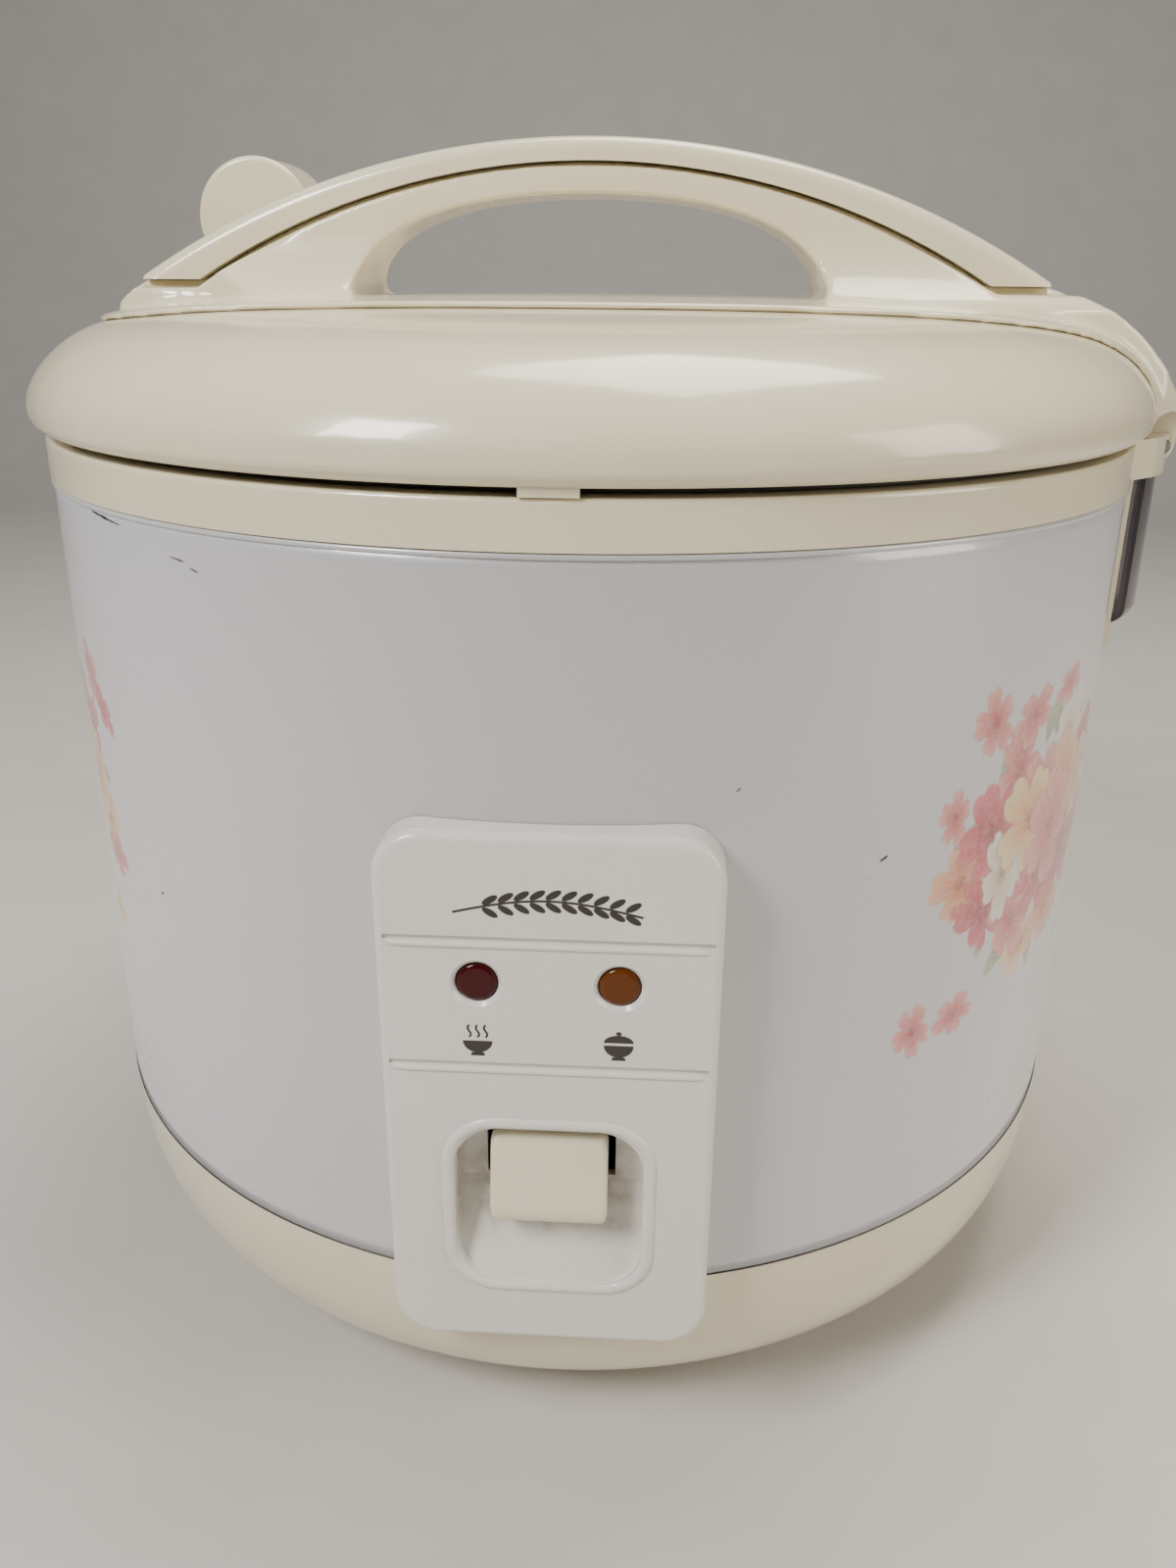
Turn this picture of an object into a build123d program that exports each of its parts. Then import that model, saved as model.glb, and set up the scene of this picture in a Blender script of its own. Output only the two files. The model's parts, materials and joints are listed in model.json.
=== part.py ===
from build123d import *
from math import cos, radians, sin, sqrt
import os

# Jar rice cooker of the 1.8 litre class, closed and standing on its feet.
# Millimetres.  Origin on the table under the cooker's axis, +Z up.
# The control panel faces -Y, the lid's hinge and dew cup are at +X,
# the open button is at -X and the mains inlet is at +Y.

os.makedirs("parts", exist_ok=True)

# ---------------------------------------------------------------- driving sizes
# body
CASE_R = 143.0
CASE_T = 0.8
CASE_BOTTOM = 55.0
CASE_TOP = 223.7
BASE_FLOOR = 6.0
BASE_FLOOR_R = 90.0
BASE_WALL = 2.5
BASE_FULLNESS = 0.76
SPIGOT_GAP = 0.3
SPIGOT_T = 2.3
SPIGOT_H = 6.0
PLATE_T = 1.2
PLATE_R = 86.0
FOOT_R = 9.0
FOOT_RING_R = 68.0
VENT_ROWS = (-26.0, -18.0, 18.0, 26.0)
SCREW_R = 1.5
SCREW_HEAD_R = 3.0
SCREW_HEAD_H = 2.0
SCREW_GAP = 0.05
BOTTOM_SCREW_RING_R = 80.0

# rim ring and liner
RING_R = 143.6
RING_TOP = 233.5
RING_DECK_T = 2.5
RING_INNER_R = 118.5
RING_SKIRT_BOTTOM = 212.0
LINER_R = 112.0
LINER_T = 1.0
LINER_FLOOR = 66.0
LINER_FLANGE_R = 138.0
LINER_TOP = 225.0
RIM_SCREW_RING_R = 131.0

# pan and heater
PAN_R = 107.0
PAN_T = 1.2
PAN_FLOOR = 86.0
PAN_CORNER_R = 18.0
PAN_FLANGE_R = 117.0
HEATER_R = 88.0
HEATER_T = 12.0
HEATER_HOLE_R = 16.0
TERMINAL_X = 60.0
TERMINAL_Y = 40.0
SUPPORT_RING_R = 70.0

# thermostat in the middle of the heating plate
SENSOR_R = 14.0
SENSOR_TOP = 85.8
SENSOR_BOTTOM = 70.0
SENSOR_WALL = 1.4
HOLDER_R = 16.0
HOLDER_BORE_R = 14.6
HOLDER_BOTTOM = 62.0
MAGNET_R = 9.0
MAGNET_BOTTOM = 67.7
MAGNET_TOP = 75.7
ROD_R = 2.0
ROD_BOTTOM = 48.0
COLLAR_R = 4.5
COLLAR_BOTTOM = 57.7

# cook switch: key, arm and pivot
PIVOT_Y = -60.0
PIVOT_Z = 56.0
PIVOT_R = 1.5
PIVOT_CLEARANCE = 0.06
EARS_BOTTOM = 51.0
ARM_T = 2.0
ARM_W = 10.0
ARM_FRONT_Y = -134.0
KEY_W = 25.5
KEY_TOP = 98.0
KEY_BOTTOM = 78.0
KEY_FRONT_Y = -151.3
KEY_BACK_Y = -143.4
KEY_LEG_W = 16.0

# control panel
PANEL_W = 70.5
PANEL_BOTTOM = 43.5
PANEL_TOP = 170.0
PANEL_FRONT = 149.0
PANEL_WALL = 2.5
PANEL_CORNER_R = 10.0
PANEL_CASE_R = 143.3
GROOVE_W = 1.2
GROOVE_LENGTH = 67.0
GROOVE_HEIGHTS = (117.5, 147.0)
LAMP_X = 14.6
LAMP_Z = 136.7
LAMP_R = 4.35
LAMP_SINK_R = 5.6
POCKET_SIZE = 41.0
POCKET_Z = 81.0
POCKET_CORNER_R = 10.0
POCKET_WALL = 2.0
SLOT_W = 28.5
SLOT_BOTTOM = 84.0
SLOT_TOP = 99.0
PANEL_SCREW_X = 29.0
PANEL_SCREW_HEIGHTS = (66.0, 160.0)

# lid
LID_EDGE_Z = 235.4
LID_WALL = 2.4
CROWN_RISE = 1.5
LID_PROFILE = (
    (0.0, 264.4), (60.0, 263.9), (95.0, 262.9), (120.0, 260.6), (133.0, 256.8),
    (140.5, 251.5), (145.2, 245.6), (146.8, 240.6), (145.6, 236.6), (143.8, LID_EDGE_Z),
)
LID_FRAME_R = 141.0
LID_FRAME_Z = 235.6
WELL_R = 116.0
WELL_FLOOR = 231.5
INNER_LID_R = 112.0
INNER_LID_Z = 229.5

# handle arch over the lid, along X
HANDLE_TOP = 303.6
HANDLE_TOP_R = 228.0
STRIP_BOTTOM = 297.8
STRIP_BOTTOM_R = 200.0
STRIP_END_X = 119.0
STRIP_END_Z = 268.9
STRIP_GAP = 1.0
STRIP_END_GAP = 2.0
HANDLE_HALF_W = 16.0
CORE_HALF_W = 12.5
FOOT_HALF_W = 38.0
FOOT_TOP = 280.0
WINDOW_HALF = 61.0
WINDOW_TOP = 290.2

# hinge at +X
HINGE_X = 150.3
HINGE_Z = 230.5
HINGE_PIN_R = 2.0
HINGE_PIN_HALF_L = 24.5
HINGE_CLEARANCE = 0.06
LUG_R = 5.0
LUG_Y = 17.0
LUG_W = 6.0
LUG_SIDE_GAP = 0.5
BARREL_HALF_W = 32.0
SWEEP_R = 8.8
COVER_TIP_X = 161.0
COVER_EDGE_Z = 235.3

# open button at -X
BUTTON_HALF_W = 16.0
BUTTON_BOTTOM = 225.3
BUTTON_TOP = 230.5
BUTTON_FACE_X = -146.2

# dew cup under the hinge
CUP_BOTTOM = 184.0
CUP_TOP = 222.7
CUP_HALF_W = 27.0
CUP_OUTER_X = 156.0
CUP_WALL = 1.6
BRACKET_R = 145.0
BRACKET_HALF_W = 33.0

# steam cap behind the left end of the handle
STEAM_X = -98.0
STEAM_Z = 285.0
STEAM_R = 16.5
STEAM_GAP = 0.4
STEAM_FRONT_Y = 20.5
STEAM_BACK_Y = 47.0
DUCT_Y = 36.0
DUCT_R = 8.0

# mains inlet at the back
INLET_Z = 76.0
INLET_W = 30.0
INLET_H = 20.0


def ring_points(radius, count, start_angle):
    """Centres of equally spaced features on a circle."""
    step = 360 / count
    angles = [radians(start_angle + step * i) for i in range(count)]
    return [(radius * cos(a), radius * sin(a)) for a in angles]


def raised(profile, rise):
    """The same profile moved outward by rise, along the surface's normal."""
    moved = []
    for i, (r, z) in enumerate(profile):
        before = profile[max(i - 1, 0)]
        after = profile[min(i + 1, len(profile) - 1)]
        along_r = after[0] - before[0]
        along_z = after[1] - before[1]
        length = sqrt(along_r**2 + along_z**2)
        moved.append((max(r - rise * along_z / length, 0.0), z + rise * along_r / length))
    return moved


def tube(bottom, top, outer_r, inner_r):
    """Upright tube on the cooker's axis; called inside a BuildPart."""
    with BuildSketch(Plane.XY.offset(bottom)) as ring:
        Circle(outer_r)
        Circle(inner_r, mode=Mode.SUBTRACT)
    extrude(ring.sketch, amount=top - bottom)


def disc(bottom, top, radius, centres=((0, 0),), mode=Mode.ADD):
    """Upright discs at the given centres; called inside a BuildPart."""
    with BuildSketch(Plane.XY.offset(bottom)) as circles:
        with Locations(*centres):
            Circle(radius)
    extrude(circles.sketch, amount=top - bottom, mode=mode)


def front_box(x_mid, z_mid, width, height, near_y, far_y, mode=Mode.ADD):
    """A block given by its front view and its two Y faces."""
    with BuildSketch(Plane.XZ.offset(-near_y)) as front_view:
        with Locations((x_mid, z_mid)):
            Rectangle(width, height)
    extrude(front_view.sketch, amount=near_y - far_y, mode=mode)


def coil(radius, wire_r, height, pitch, plane):
    """Open-coil spring whose axis starts at the plane's origin."""
    path = Helix(pitch=pitch, height=height, radius=radius)
    with BuildPart() as spring:
        with BuildSketch(Plane(origin=path @ 0, z_dir=path % 0)):
            Circle(wire_r)
        sweep(path=path, is_frenet=True)
    return plane * spring.part


# ================================================================ body shells
with BuildPart() as outer_case:
    tube(CASE_BOTTOM, CASE_TOP, CASE_R, CASE_R - CASE_T)
    front_box(0, 105.0, 49.0, 94.0, -100.0, -160.0, mode=Mode.SUBTRACT)
    with BuildSketch(Plane.XZ.offset(100.0)):
        for height in PANEL_SCREW_HEIGHTS:
            with Locations((-PANEL_SCREW_X, height), (PANEL_SCREW_X, height)):
                Circle(SCREW_R + 0.3)
    extrude(amount=60.0, mode=Mode.SUBTRACT)
    front_box(0, INLET_Z, INLET_W + 0.6, INLET_H + 0.6, 160.0, 100.0, mode=Mode.SUBTRACT)
outer_case.part.label = "outer_case"
export_step(outer_case.part, "parts/outer_case.step")

base_depth = CASE_BOTTOM - BASE_FLOOR
base_reach = CASE_R - BASE_FLOOR_R
with BuildPart() as base_shell:
    with BuildSketch(Plane.XZ):
        with BuildLine():
            Bezier(
                (CASE_R, CASE_BOTTOM),
                (CASE_R, CASE_BOTTOM - BASE_FULLNESS * base_depth),
                (BASE_FLOOR_R + BASE_FULLNESS * base_reach, BASE_FLOOR),
                (BASE_FLOOR_R, BASE_FLOOR),
            )
            Line((BASE_FLOOR_R, BASE_FLOOR), (74.0, BASE_FLOOR))
            Line((74.0, BASE_FLOOR), (74.0, BASE_FLOOR + BASE_WALL))
            Line((74.0, BASE_FLOOR + BASE_WALL), (BASE_FLOOR_R, BASE_FLOOR + BASE_WALL))
            Bezier(
                (BASE_FLOOR_R, BASE_FLOOR + BASE_WALL),
                (BASE_FLOOR_R + BASE_FULLNESS * (base_reach - BASE_WALL), BASE_FLOOR + BASE_WALL),
                (CASE_R - BASE_WALL, CASE_BOTTOM - BASE_FULLNESS * (base_depth - BASE_WALL)),
                (CASE_R - BASE_WALL, CASE_BOTTOM),
            )
            Line((CASE_R - BASE_WALL, CASE_BOTTOM), (CASE_R, CASE_BOTTOM))
        make_face()
    revolve(axis=Axis.Z)
    spigot_r = CASE_R - CASE_T - SPIGOT_GAP
    tube(CASE_BOTTOM - 4.0, CASE_BOTTOM + SPIGOT_H, spigot_r, spigot_r - SPIGOT_T)
    screw_points = ring_points(BOTTOM_SCREW_RING_R, 4, 0)
    disc(BASE_FLOOR + BASE_WALL, 16.0, 4.0, screw_points)
    disc(0.0, 14.5, SCREW_R + SCREW_GAP, screw_points, mode=Mode.SUBTRACT)
base_shell.part.label = "base_shell"
export_step(base_shell.part, "parts/base_shell.step")

plate_bottom = BASE_FLOOR - PLATE_T
foot_points = [(0, 0), *ring_points(FOOT_RING_R, 4, 45)]
with BuildPart() as bottom_plate:
    disc(plate_bottom, BASE_FLOOR, PLATE_R)
    disc(0.0, BASE_FLOOR + 1, SCREW_R + 0.2, screw_points, mode=Mode.SUBTRACT)
    disc(0.0, BASE_FLOOR + 1, 3.2, foot_points, mode=Mode.SUBTRACT)
    with BuildSketch(Plane.XY):
        with Locations(*[(0, row_y) for row_y in VENT_ROWS]):
            SlotOverall(44.0, 3.0)
    extrude(amount=BASE_FLOOR + 1, mode=Mode.SUBTRACT)
bottom_plate.part.label = "bottom_plate"
export_step(bottom_plate.part, "parts/bottom_plate.step")

with BuildPart() as rubber_feet:
    disc(0.0, plate_bottom, FOOT_R, foot_points)
    chamfer(rubber_feet.edges().group_by(Axis.Z)[0], 0.8)
    disc(plate_bottom, BASE_FLOOR + 1.5, 3.0, foot_points)
    disc(BASE_FLOOR + 0.1, BASE_FLOOR + 1.5, 4.2, foot_points)
rubber_feet.part.label = "rubber_feet"
export_step(rubber_feet.part, "parts/rubber_feet.step")

with BuildPart() as bottom_screws:
    disc(plate_bottom - SCREW_HEAD_H, plate_bottom, SCREW_HEAD_R, screw_points)
    disc(plate_bottom, 13.5, SCREW_R, screw_points)
bottom_screws.part.label = "bottom_screws"
export_step(bottom_screws.part, "parts/bottom_screws.step")

# ================================================================ rim ring
rim_screw_points = ring_points(RIM_SCREW_RING_R, 4, 45)
deck_bottom = RING_TOP - RING_DECK_T
skirt_r = CASE_R - CASE_T - SPIGOT_GAP
with BuildPart() as rim_ring:
    with BuildSketch(Plane.XZ):
        with BuildLine():
            Polyline(
                (RING_INNER_R, LINER_TOP),
                (RING_INNER_R + 2.5, LINER_TOP),
                (RING_INNER_R + 2.5, deck_bottom),
                (skirt_r - SPIGOT_T, deck_bottom),
                (skirt_r - SPIGOT_T, RING_SKIRT_BOTTOM),
                (skirt_r, RING_SKIRT_BOTTOM),
                (skirt_r, CASE_TOP),
                (RING_R, CASE_TOP),
                (RING_R, RING_TOP),
                (RING_INNER_R, RING_TOP),
                close=True,
            )
        make_face()
    revolve(axis=Axis.Z)
    fillet(rim_ring.edges().group_by(Axis.Z)[-1], 1.0)
    # hinge block: a bulge of the band, its back rounded about the hinge axis
    with BuildSketch(Plane.XY.offset(CASE_TOP)):
        with BuildLine():
            Polyline((146.0, -BARREL_HALF_W), (136.0, -41.0), (136.0, 41.0), (146.0, BARREL_HALF_W))
            ThreePointArc((146.0, -BARREL_HALF_W), (157.3, 0), (146.0, BARREL_HALF_W))
        make_face()
        Circle(skirt_r - 1.0, mode=Mode.SUBTRACT)
    extrude(amount=RING_TOP - CASE_TOP)
    with BuildSketch(Plane.XZ.offset(-60.0)):
        with BuildLine():
            Polyline(
                (HINGE_X - 1.5, CASE_TOP - 1), (HINGE_X - 1.5, RING_TOP + 1),
                (170.0, RING_TOP + 1), (170.0, CASE_TOP - 1), close=True,
            )
        make_face()
        with Locations((HINGE_X, HINGE_Z)):
            Circle(SWEEP_R - 0.7, mode=Mode.SUBTRACT)
    extrude(amount=120.0, mode=Mode.SUBTRACT)
    # two open slots for the lid's lugs, and a pocket for the hinge spring
    for lug_y in (-LUG_Y, LUG_Y):
        with BuildSketch(Plane.XZ.offset(-lug_y)):
            with Locations((HINGE_X, HINGE_Z)):
                Circle(LUG_R + LUG_SIDE_GAP)
            with Locations((HINGE_X + 4.75, HINGE_Z + 4.75)):
                Rectangle(20.5, 20.5)
        extrude(amount=LUG_W / 2 + LUG_SIDE_GAP, both=True, mode=Mode.SUBTRACT)
    with BuildSketch(Plane.XZ):
        with Locations((HINGE_X, HINGE_Z)):
            Circle(5.6)
        with Locations((HINGE_X, HINGE_Z + 5)):
            Rectangle(11.2, 10.0)
    extrude(amount=LUG_Y - LUG_W, both=True, mode=Mode.SUBTRACT)
    with BuildSketch(Plane.XZ):
        with Locations((HINGE_X, HINGE_Z)):
            Circle(HINGE_PIN_R + 0.02)
    extrude(amount=HINGE_PIN_HALF_L + 0.5, both=True, mode=Mode.SUBTRACT)
    # screw bosses under the deck
    disc(LINER_TOP, deck_bottom + 0.5, 3.5, rim_screw_points)
    disc(LINER_TOP - 1, 230.6, SCREW_R + SCREW_GAP, rim_screw_points, mode=Mode.SUBTRACT)
    # window for the open button, slot for the latch hook, two spring ribs
    with BuildSketch(Plane.YZ.offset(-136.0)):
        with Locations((0, (BUTTON_BOTTOM + BUTTON_TOP) / 2)):
            Rectangle(2 * BUTTON_HALF_W + 0.6, BUTTON_TOP - BUTTON_BOTTOM + 0.6)
    extrude(amount=-12.0, mode=Mode.SUBTRACT)
    with BuildSketch(Plane.XY.offset(deck_bottom - 1)):
        with Locations((-128.8, 0)):
            Rectangle(6.4, 10.0)
    extrude(amount=RING_DECK_T + 2, mode=Mode.SUBTRACT)
    with BuildSketch(Plane.XY.offset(BUTTON_BOTTOM)):
        with Locations((-130.75, -8.5), (-130.75, 8.5)):
            Rectangle(1.5, 4.0)
    extrude(amount=deck_bottom + 0.5 - BUTTON_BOTTOM)
rim_ring.part.label = "rim_ring"
export_step(rim_ring.part, "parts/rim_ring.step")

with BuildPart() as rim_screws:
    disc(LINER_TOP - 1 - SCREW_HEAD_H, LINER_TOP - 1, SCREW_HEAD_R, rim_screw_points)
    disc(LINER_TOP - 1, 230.0, SCREW_R, rim_screw_points)
rim_screws.part.label = "rim_screws"
export_step(rim_screws.part, "parts/rim_screws.step")

# ================================================================ liner, pan and heaters
terminal_points = [(-TERMINAL_X, TERMINAL_Y), (TERMINAL_X, TERMINAL_Y)]
support_points = ring_points(SUPPORT_RING_R, 3, 90)
with BuildPart() as liner:
    tube(LINER_FLOOR, LINER_TOP - 1, LINER_R, LINER_R - LINER_T)
    tube(LINER_TOP - 1, LINER_TOP, LINER_FLANGE_R, LINER_R - LINER_T)
    disc(LINER_FLOOR, LINER_FLOOR + LINER_T, LINER_R - LINER_T / 2)
    disc(LINER_FLOOR - 1, LINER_FLOOR + 2, HOLDER_R + 0.4, mode=Mode.SUBTRACT)
    disc(LINER_FLOOR - 1, LINER_FLOOR + 2, 5.0, terminal_points, mode=Mode.SUBTRACT)
    disc(LINER_TOP - 2, LINER_TOP + 1, SCREW_R + 0.2, rim_screw_points, mode=Mode.SUBTRACT)
liner.part.label = "liner"
export_step(liner.part, "parts/liner.step")

with BuildPart() as heating_plate:
    disc(PAN_FLOOR - HEATER_T, PAN_FLOOR, HEATER_R)
    chamfer(heating_plate.edges().group_by(Axis.Z)[-1], 2.0)
    disc(PAN_FLOOR - HEATER_T - 1, PAN_FLOOR + 1, HEATER_HOLE_R, mode=Mode.SUBTRACT)
    with BuildSketch(Plane.XY.offset(PAN_FLOOR - HEATER_T)):
        Circle(58.0)
        Circle(38.0, mode=Mode.SUBTRACT)
    extrude(amount=5.0, mode=Mode.SUBTRACT)
heating_plate.part.label = "heating_plate"
export_step(heating_plate.part, "parts/heating_plate.step")

with BuildPart() as heater_terminals:
    disc(56.0, PAN_FLOOR - HEATER_T, 2.5, terminal_points)
    disc(69.0, PAN_FLOOR - HEATER_T, 4.0, terminal_points)
heater_terminals.part.label = "heater_terminals"
export_step(heater_terminals.part, "parts/heater_terminals.step")

with BuildPart() as plate_supports:
    disc(LINER_FLOOR + LINER_T, PAN_FLOOR - HEATER_T, 4.0, support_points)
plate_supports.part.label = "plate_supports"
export_step(plate_supports.part, "parts/plate_supports.step")

with BuildPart() as side_heater:
    tube(128.0, 168.0, LINER_R + 1.6, LINER_R + 0.1)
side_heater.part.label = "side_heater"
export_step(side_heater.part, "parts/side_heater.step")

with BuildPart() as inner_pan:
    disc(PAN_FLOOR, LINER_TOP + PAN_T, PAN_R)
    fillet(inner_pan.edges().group_by(Axis.Z)[0], PAN_CORNER_R)
    offset(amount=-PAN_T, openings=inner_pan.faces().sort_by(Axis.Z)[-1])
    tube(LINER_TOP, LINER_TOP + PAN_T, PAN_FLANGE_R, PAN_R - PAN_T / 2)
inner_pan.part.label = "inner_pan"
export_step(inner_pan.part, "parts/inner_pan.step")

# ================================================================ thermostat
with BuildPart() as sensor_cap:
    disc(SENSOR_BOTTOM, SENSOR_TOP, SENSOR_R)
    fillet(sensor_cap.edges().group_by(Axis.Z)[-1], 1.0)
    cap_bore_r = SENSOR_R - SENSOR_WALL
    disc(SENSOR_BOTTOM - 1, SENSOR_TOP - 1.5, cap_bore_r, mode=Mode.SUBTRACT)
sensor_cap.part.label = "sensor_cap"
export_step(sensor_cap.part, "parts/sensor_cap.step")

with BuildPart() as sensor_ferrite:
    disc(79.4, SENSOR_TOP - 1.5, 11.0)
sensor_ferrite.part.label = "sensor_ferrite"
export_step(sensor_ferrite.part, "parts/sensor_ferrite.step")

with BuildPart() as sensor_holder:
    tube(HOLDER_BOTTOM, 72.0, HOLDER_R, HOLDER_BORE_R)
    tube(HOLDER_BOTTOM, HOLDER_BOTTOM + 1.2, HOLDER_R, 6.0)
    tube(LINER_FLOOR - 1.2, LINER_FLOOR, 24.0, HOLDER_R - 0.5)
sensor_holder.part.label = "sensor_holder"
export_step(sensor_holder.part, "parts/sensor_holder.step")

sensor_spring = coil(13.2, 0.55, 5.4, 1.8, Plane.XY.offset(HOLDER_BOTTOM + 1.8))
sensor_spring.label = "sensor_spring"
export_step(sensor_spring, "parts/sensor_spring.step")

with BuildPart() as magnet:
    disc(MAGNET_BOTTOM, MAGNET_TOP, MAGNET_R)
    chamfer(magnet.edges(), 0.5)
magnet.part.label = "magnet"
export_step(magnet.part, "parts/magnet.step")

with BuildPart() as magnet_rod:
    disc(ROD_BOTTOM, MAGNET_BOTTOM, ROD_R)
    disc(COLLAR_BOTTOM, COLLAR_BOTTOM + 1.5, COLLAR_R)
    disc(ROD_BOTTOM, ROD_BOTTOM + 1.5, COLLAR_R)
magnet_rod.part.label = "magnet_rod"
export_step(magnet_rod.part, "parts/magnet_rod.step")

# ================================================================ cook switch
with BuildPart() as lever_arm:
    arm_bottom = PIVOT_Z - ARM_T / 2
    with BuildSketch(Plane.YZ):
        with BuildLine():
            Polyline(
                (ARM_FRONT_Y, 96.5),
                (ARM_FRONT_Y, arm_bottom),
                (9.0, arm_bottom),
                (9.0, arm_bottom + ARM_T),
                (ARM_FRONT_Y + ARM_T, arm_bottom + ARM_T),
                (ARM_FRONT_Y + ARM_T, 96.5),
                close=True,
            )
        make_face()
        with Locations((PIVOT_Y, PIVOT_Z)):
            Circle(3.2)
    extrude(amount=ARM_W / 2, both=True)
    with BuildSketch(Plane.YZ):
        with Locations((PIVOT_Y, PIVOT_Z)):
            Circle(PIVOT_R + PIVOT_CLEARANCE)
    extrude(amount=ARM_W, both=True, mode=Mode.SUBTRACT)
    disc(arm_bottom - 1, arm_bottom + ARM_T + 1, ROD_R + 1.2, mode=Mode.SUBTRACT)
lever_arm.part.label = "lever_arm"
export_step(lever_arm.part, "parts/lever_arm.step")

with BuildPart() as lever_bracket:
    bracket_plate_t = 1.2
    with BuildSketch(Plane.XY.offset(LINER_FLOOR - bracket_plate_t)):
        with Locations((0, PIVOT_Y)):
            Rectangle(24.0, 14.0)
    extrude(amount=bracket_plate_t)
    for side in (-1, 1):
        with BuildSketch(Plane.YZ.offset(side * 6.2)):
            with Locations((PIVOT_Y, (EARS_BOTTOM + LINER_FLOOR) / 2)):
                Rectangle(12.0, LINER_FLOOR - EARS_BOTTOM)
            with Locations((PIVOT_Y, PIVOT_Z)):
                Circle(PIVOT_R + 0.02, mode=Mode.SUBTRACT)
        extrude(amount=side * 1.5)
lever_bracket.part.label = "lever_bracket"
export_step(lever_bracket.part, "parts/lever_bracket.step")

with BuildPart() as lever_pivot_pin:
    with BuildSketch(Plane.YZ):
        with Locations((PIVOT_Y, PIVOT_Z)):
            Circle(PIVOT_R)
    extrude(amount=9.0, both=True)
lever_pivot_pin.part.label = "lever_pivot_pin"
export_step(lever_pivot_pin.part, "parts/lever_pivot_pin.step")

with BuildPart() as switch_key:
    with BuildSketch(Plane.YZ):
        with BuildLine():
            Polyline((KEY_BACK_Y, KEY_BOTTOM), (KEY_BACK_Y, KEY_TOP), (-147.6, KEY_TOP))
            Spline((-147.6, KEY_TOP), (-149.2, 90.0), (KEY_FRONT_Y, 81.5))
            ThreePointArc((KEY_FRONT_Y, 81.5), (-150.2, KEY_BOTTOM + 0.9), (-148.4, KEY_BOTTOM))
            Line((-148.4, KEY_BOTTOM), (KEY_BACK_Y, KEY_BOTTOM))
        make_face()
    extrude(amount=KEY_W / 2, both=True)
    front_sides = switch_key.edges().filter_by(lambda e: abs(e.center().X) > KEY_W / 2 - 0.1)
    fillet(front_sides.filter_by(lambda e: e.center().Y < KEY_BACK_Y - 2), 0.8)
    front_box(0, 94.0, KEY_LEG_W, 7.0, ARM_FRONT_Y, KEY_BACK_Y)
switch_key.part.label = "switch_key"
export_step(switch_key.part, "parts/switch_key.step")

with BuildPart() as microswitch:
    front_box(6.65, 44.0, 6.5, 14.0, -85.0, -105.0)
    front_box(4.4, 51.6, 1.6, 1.4, -93.0, -96.0)
microswitch.part.label = "microswitch"
export_step(microswitch.part, "parts/microswitch.step")

with BuildPart() as microswitch_bracket:
    front_box(10.5, 51.0, 1.2, 30.0, -84.0, -106.0)
    front_box(16.0, LINER_FLOOR - 0.6, 12.0, 1.2, -84.0, -106.0)
microswitch_bracket.part.label = "microswitch_bracket"
export_step(microswitch_bracket.part, "parts/microswitch_bracket.step")

# ================================================================ wiring
with BuildPart() as thermal_fuse:
    with BuildSketch(Plane.YZ.offset(30.0)):
        with Locations((-30.0, 63.6)):
            Circle(2.0)
    extrude(amount=12.0)
    with BuildSketch(Plane.YZ.offset(22.0)):
        with Locations((-30.0, 63.6)):
            Circle(0.6)
    extrude(amount=28.0)
thermal_fuse.part.label = "thermal_fuse"
export_step(thermal_fuse.part, "parts/thermal_fuse.step")

with BuildPart() as terminal_block:
    front_box(0, 60.0, 34.0, 12.0, 78.0, 62.0)
    with BuildSketch(Plane.XZ.offset(-62.0)):
        with GridLocations(10.0, 0, 3, 1):
            with Locations((0, 58.0)):
                Circle(2.0)
    extrude(amount=-8.0, mode=Mode.SUBTRACT)
terminal_block.part.label = "terminal_block"
export_step(terminal_block.part, "parts/terminal_block.step")

WIRE_R = 1.1
wire_routes = (
    ((-6.0, 121.5, 76.0), (-6.0, 117.0, 76.0), (-6.0, 117.0, 46.0), (-10.0, 70.0, 46.0),
     (-10.0, 70.0, 53.8)),
    ((6.0, 121.5, 76.0), (6.0, 117.0, 76.0), (6.0, 117.0, 42.0), (10.0, 70.0, 42.0),
     (10.0, 70.0, 53.8)),
    ((-60.0, 40.0, 55.8), (-60.0, 40.0, 48.0), (-30.0, 56.0, 48.0), (-22.0, 60.0, 38.0)),
    ((60.0, 40.0, 55.8), (60.0, 40.0, 48.0), (52.0, 0.0, 50.0), (52.0, -28.0, 58.0)),
    ((20.0, -30.0, 61.0), (20.0, -44.0, 50.0), (18.0, -80.0, 44.0), (13.0, -95.0, 44.0)),
    ((22.0, -96.0, 40.0), (30.0, -118.0, 40.0), (27.0, -126.0, 70.0), (24.0, -126.0, 126.0)),
)
with BuildPart() as wiring:
    for route in wire_routes:
        with BuildLine() as wire_path:
            FilletPolyline(*route, radius=3.0)
        start_plane = Plane(origin=wire_path.line @ 0, z_dir=wire_path.line % 0)
        with BuildSketch(start_plane):
            Circle(WIRE_R)
        sweep(path=wire_path.line)
wiring.part.label = "wiring"
export_step(wiring.part, "parts/wiring.step")

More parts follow.
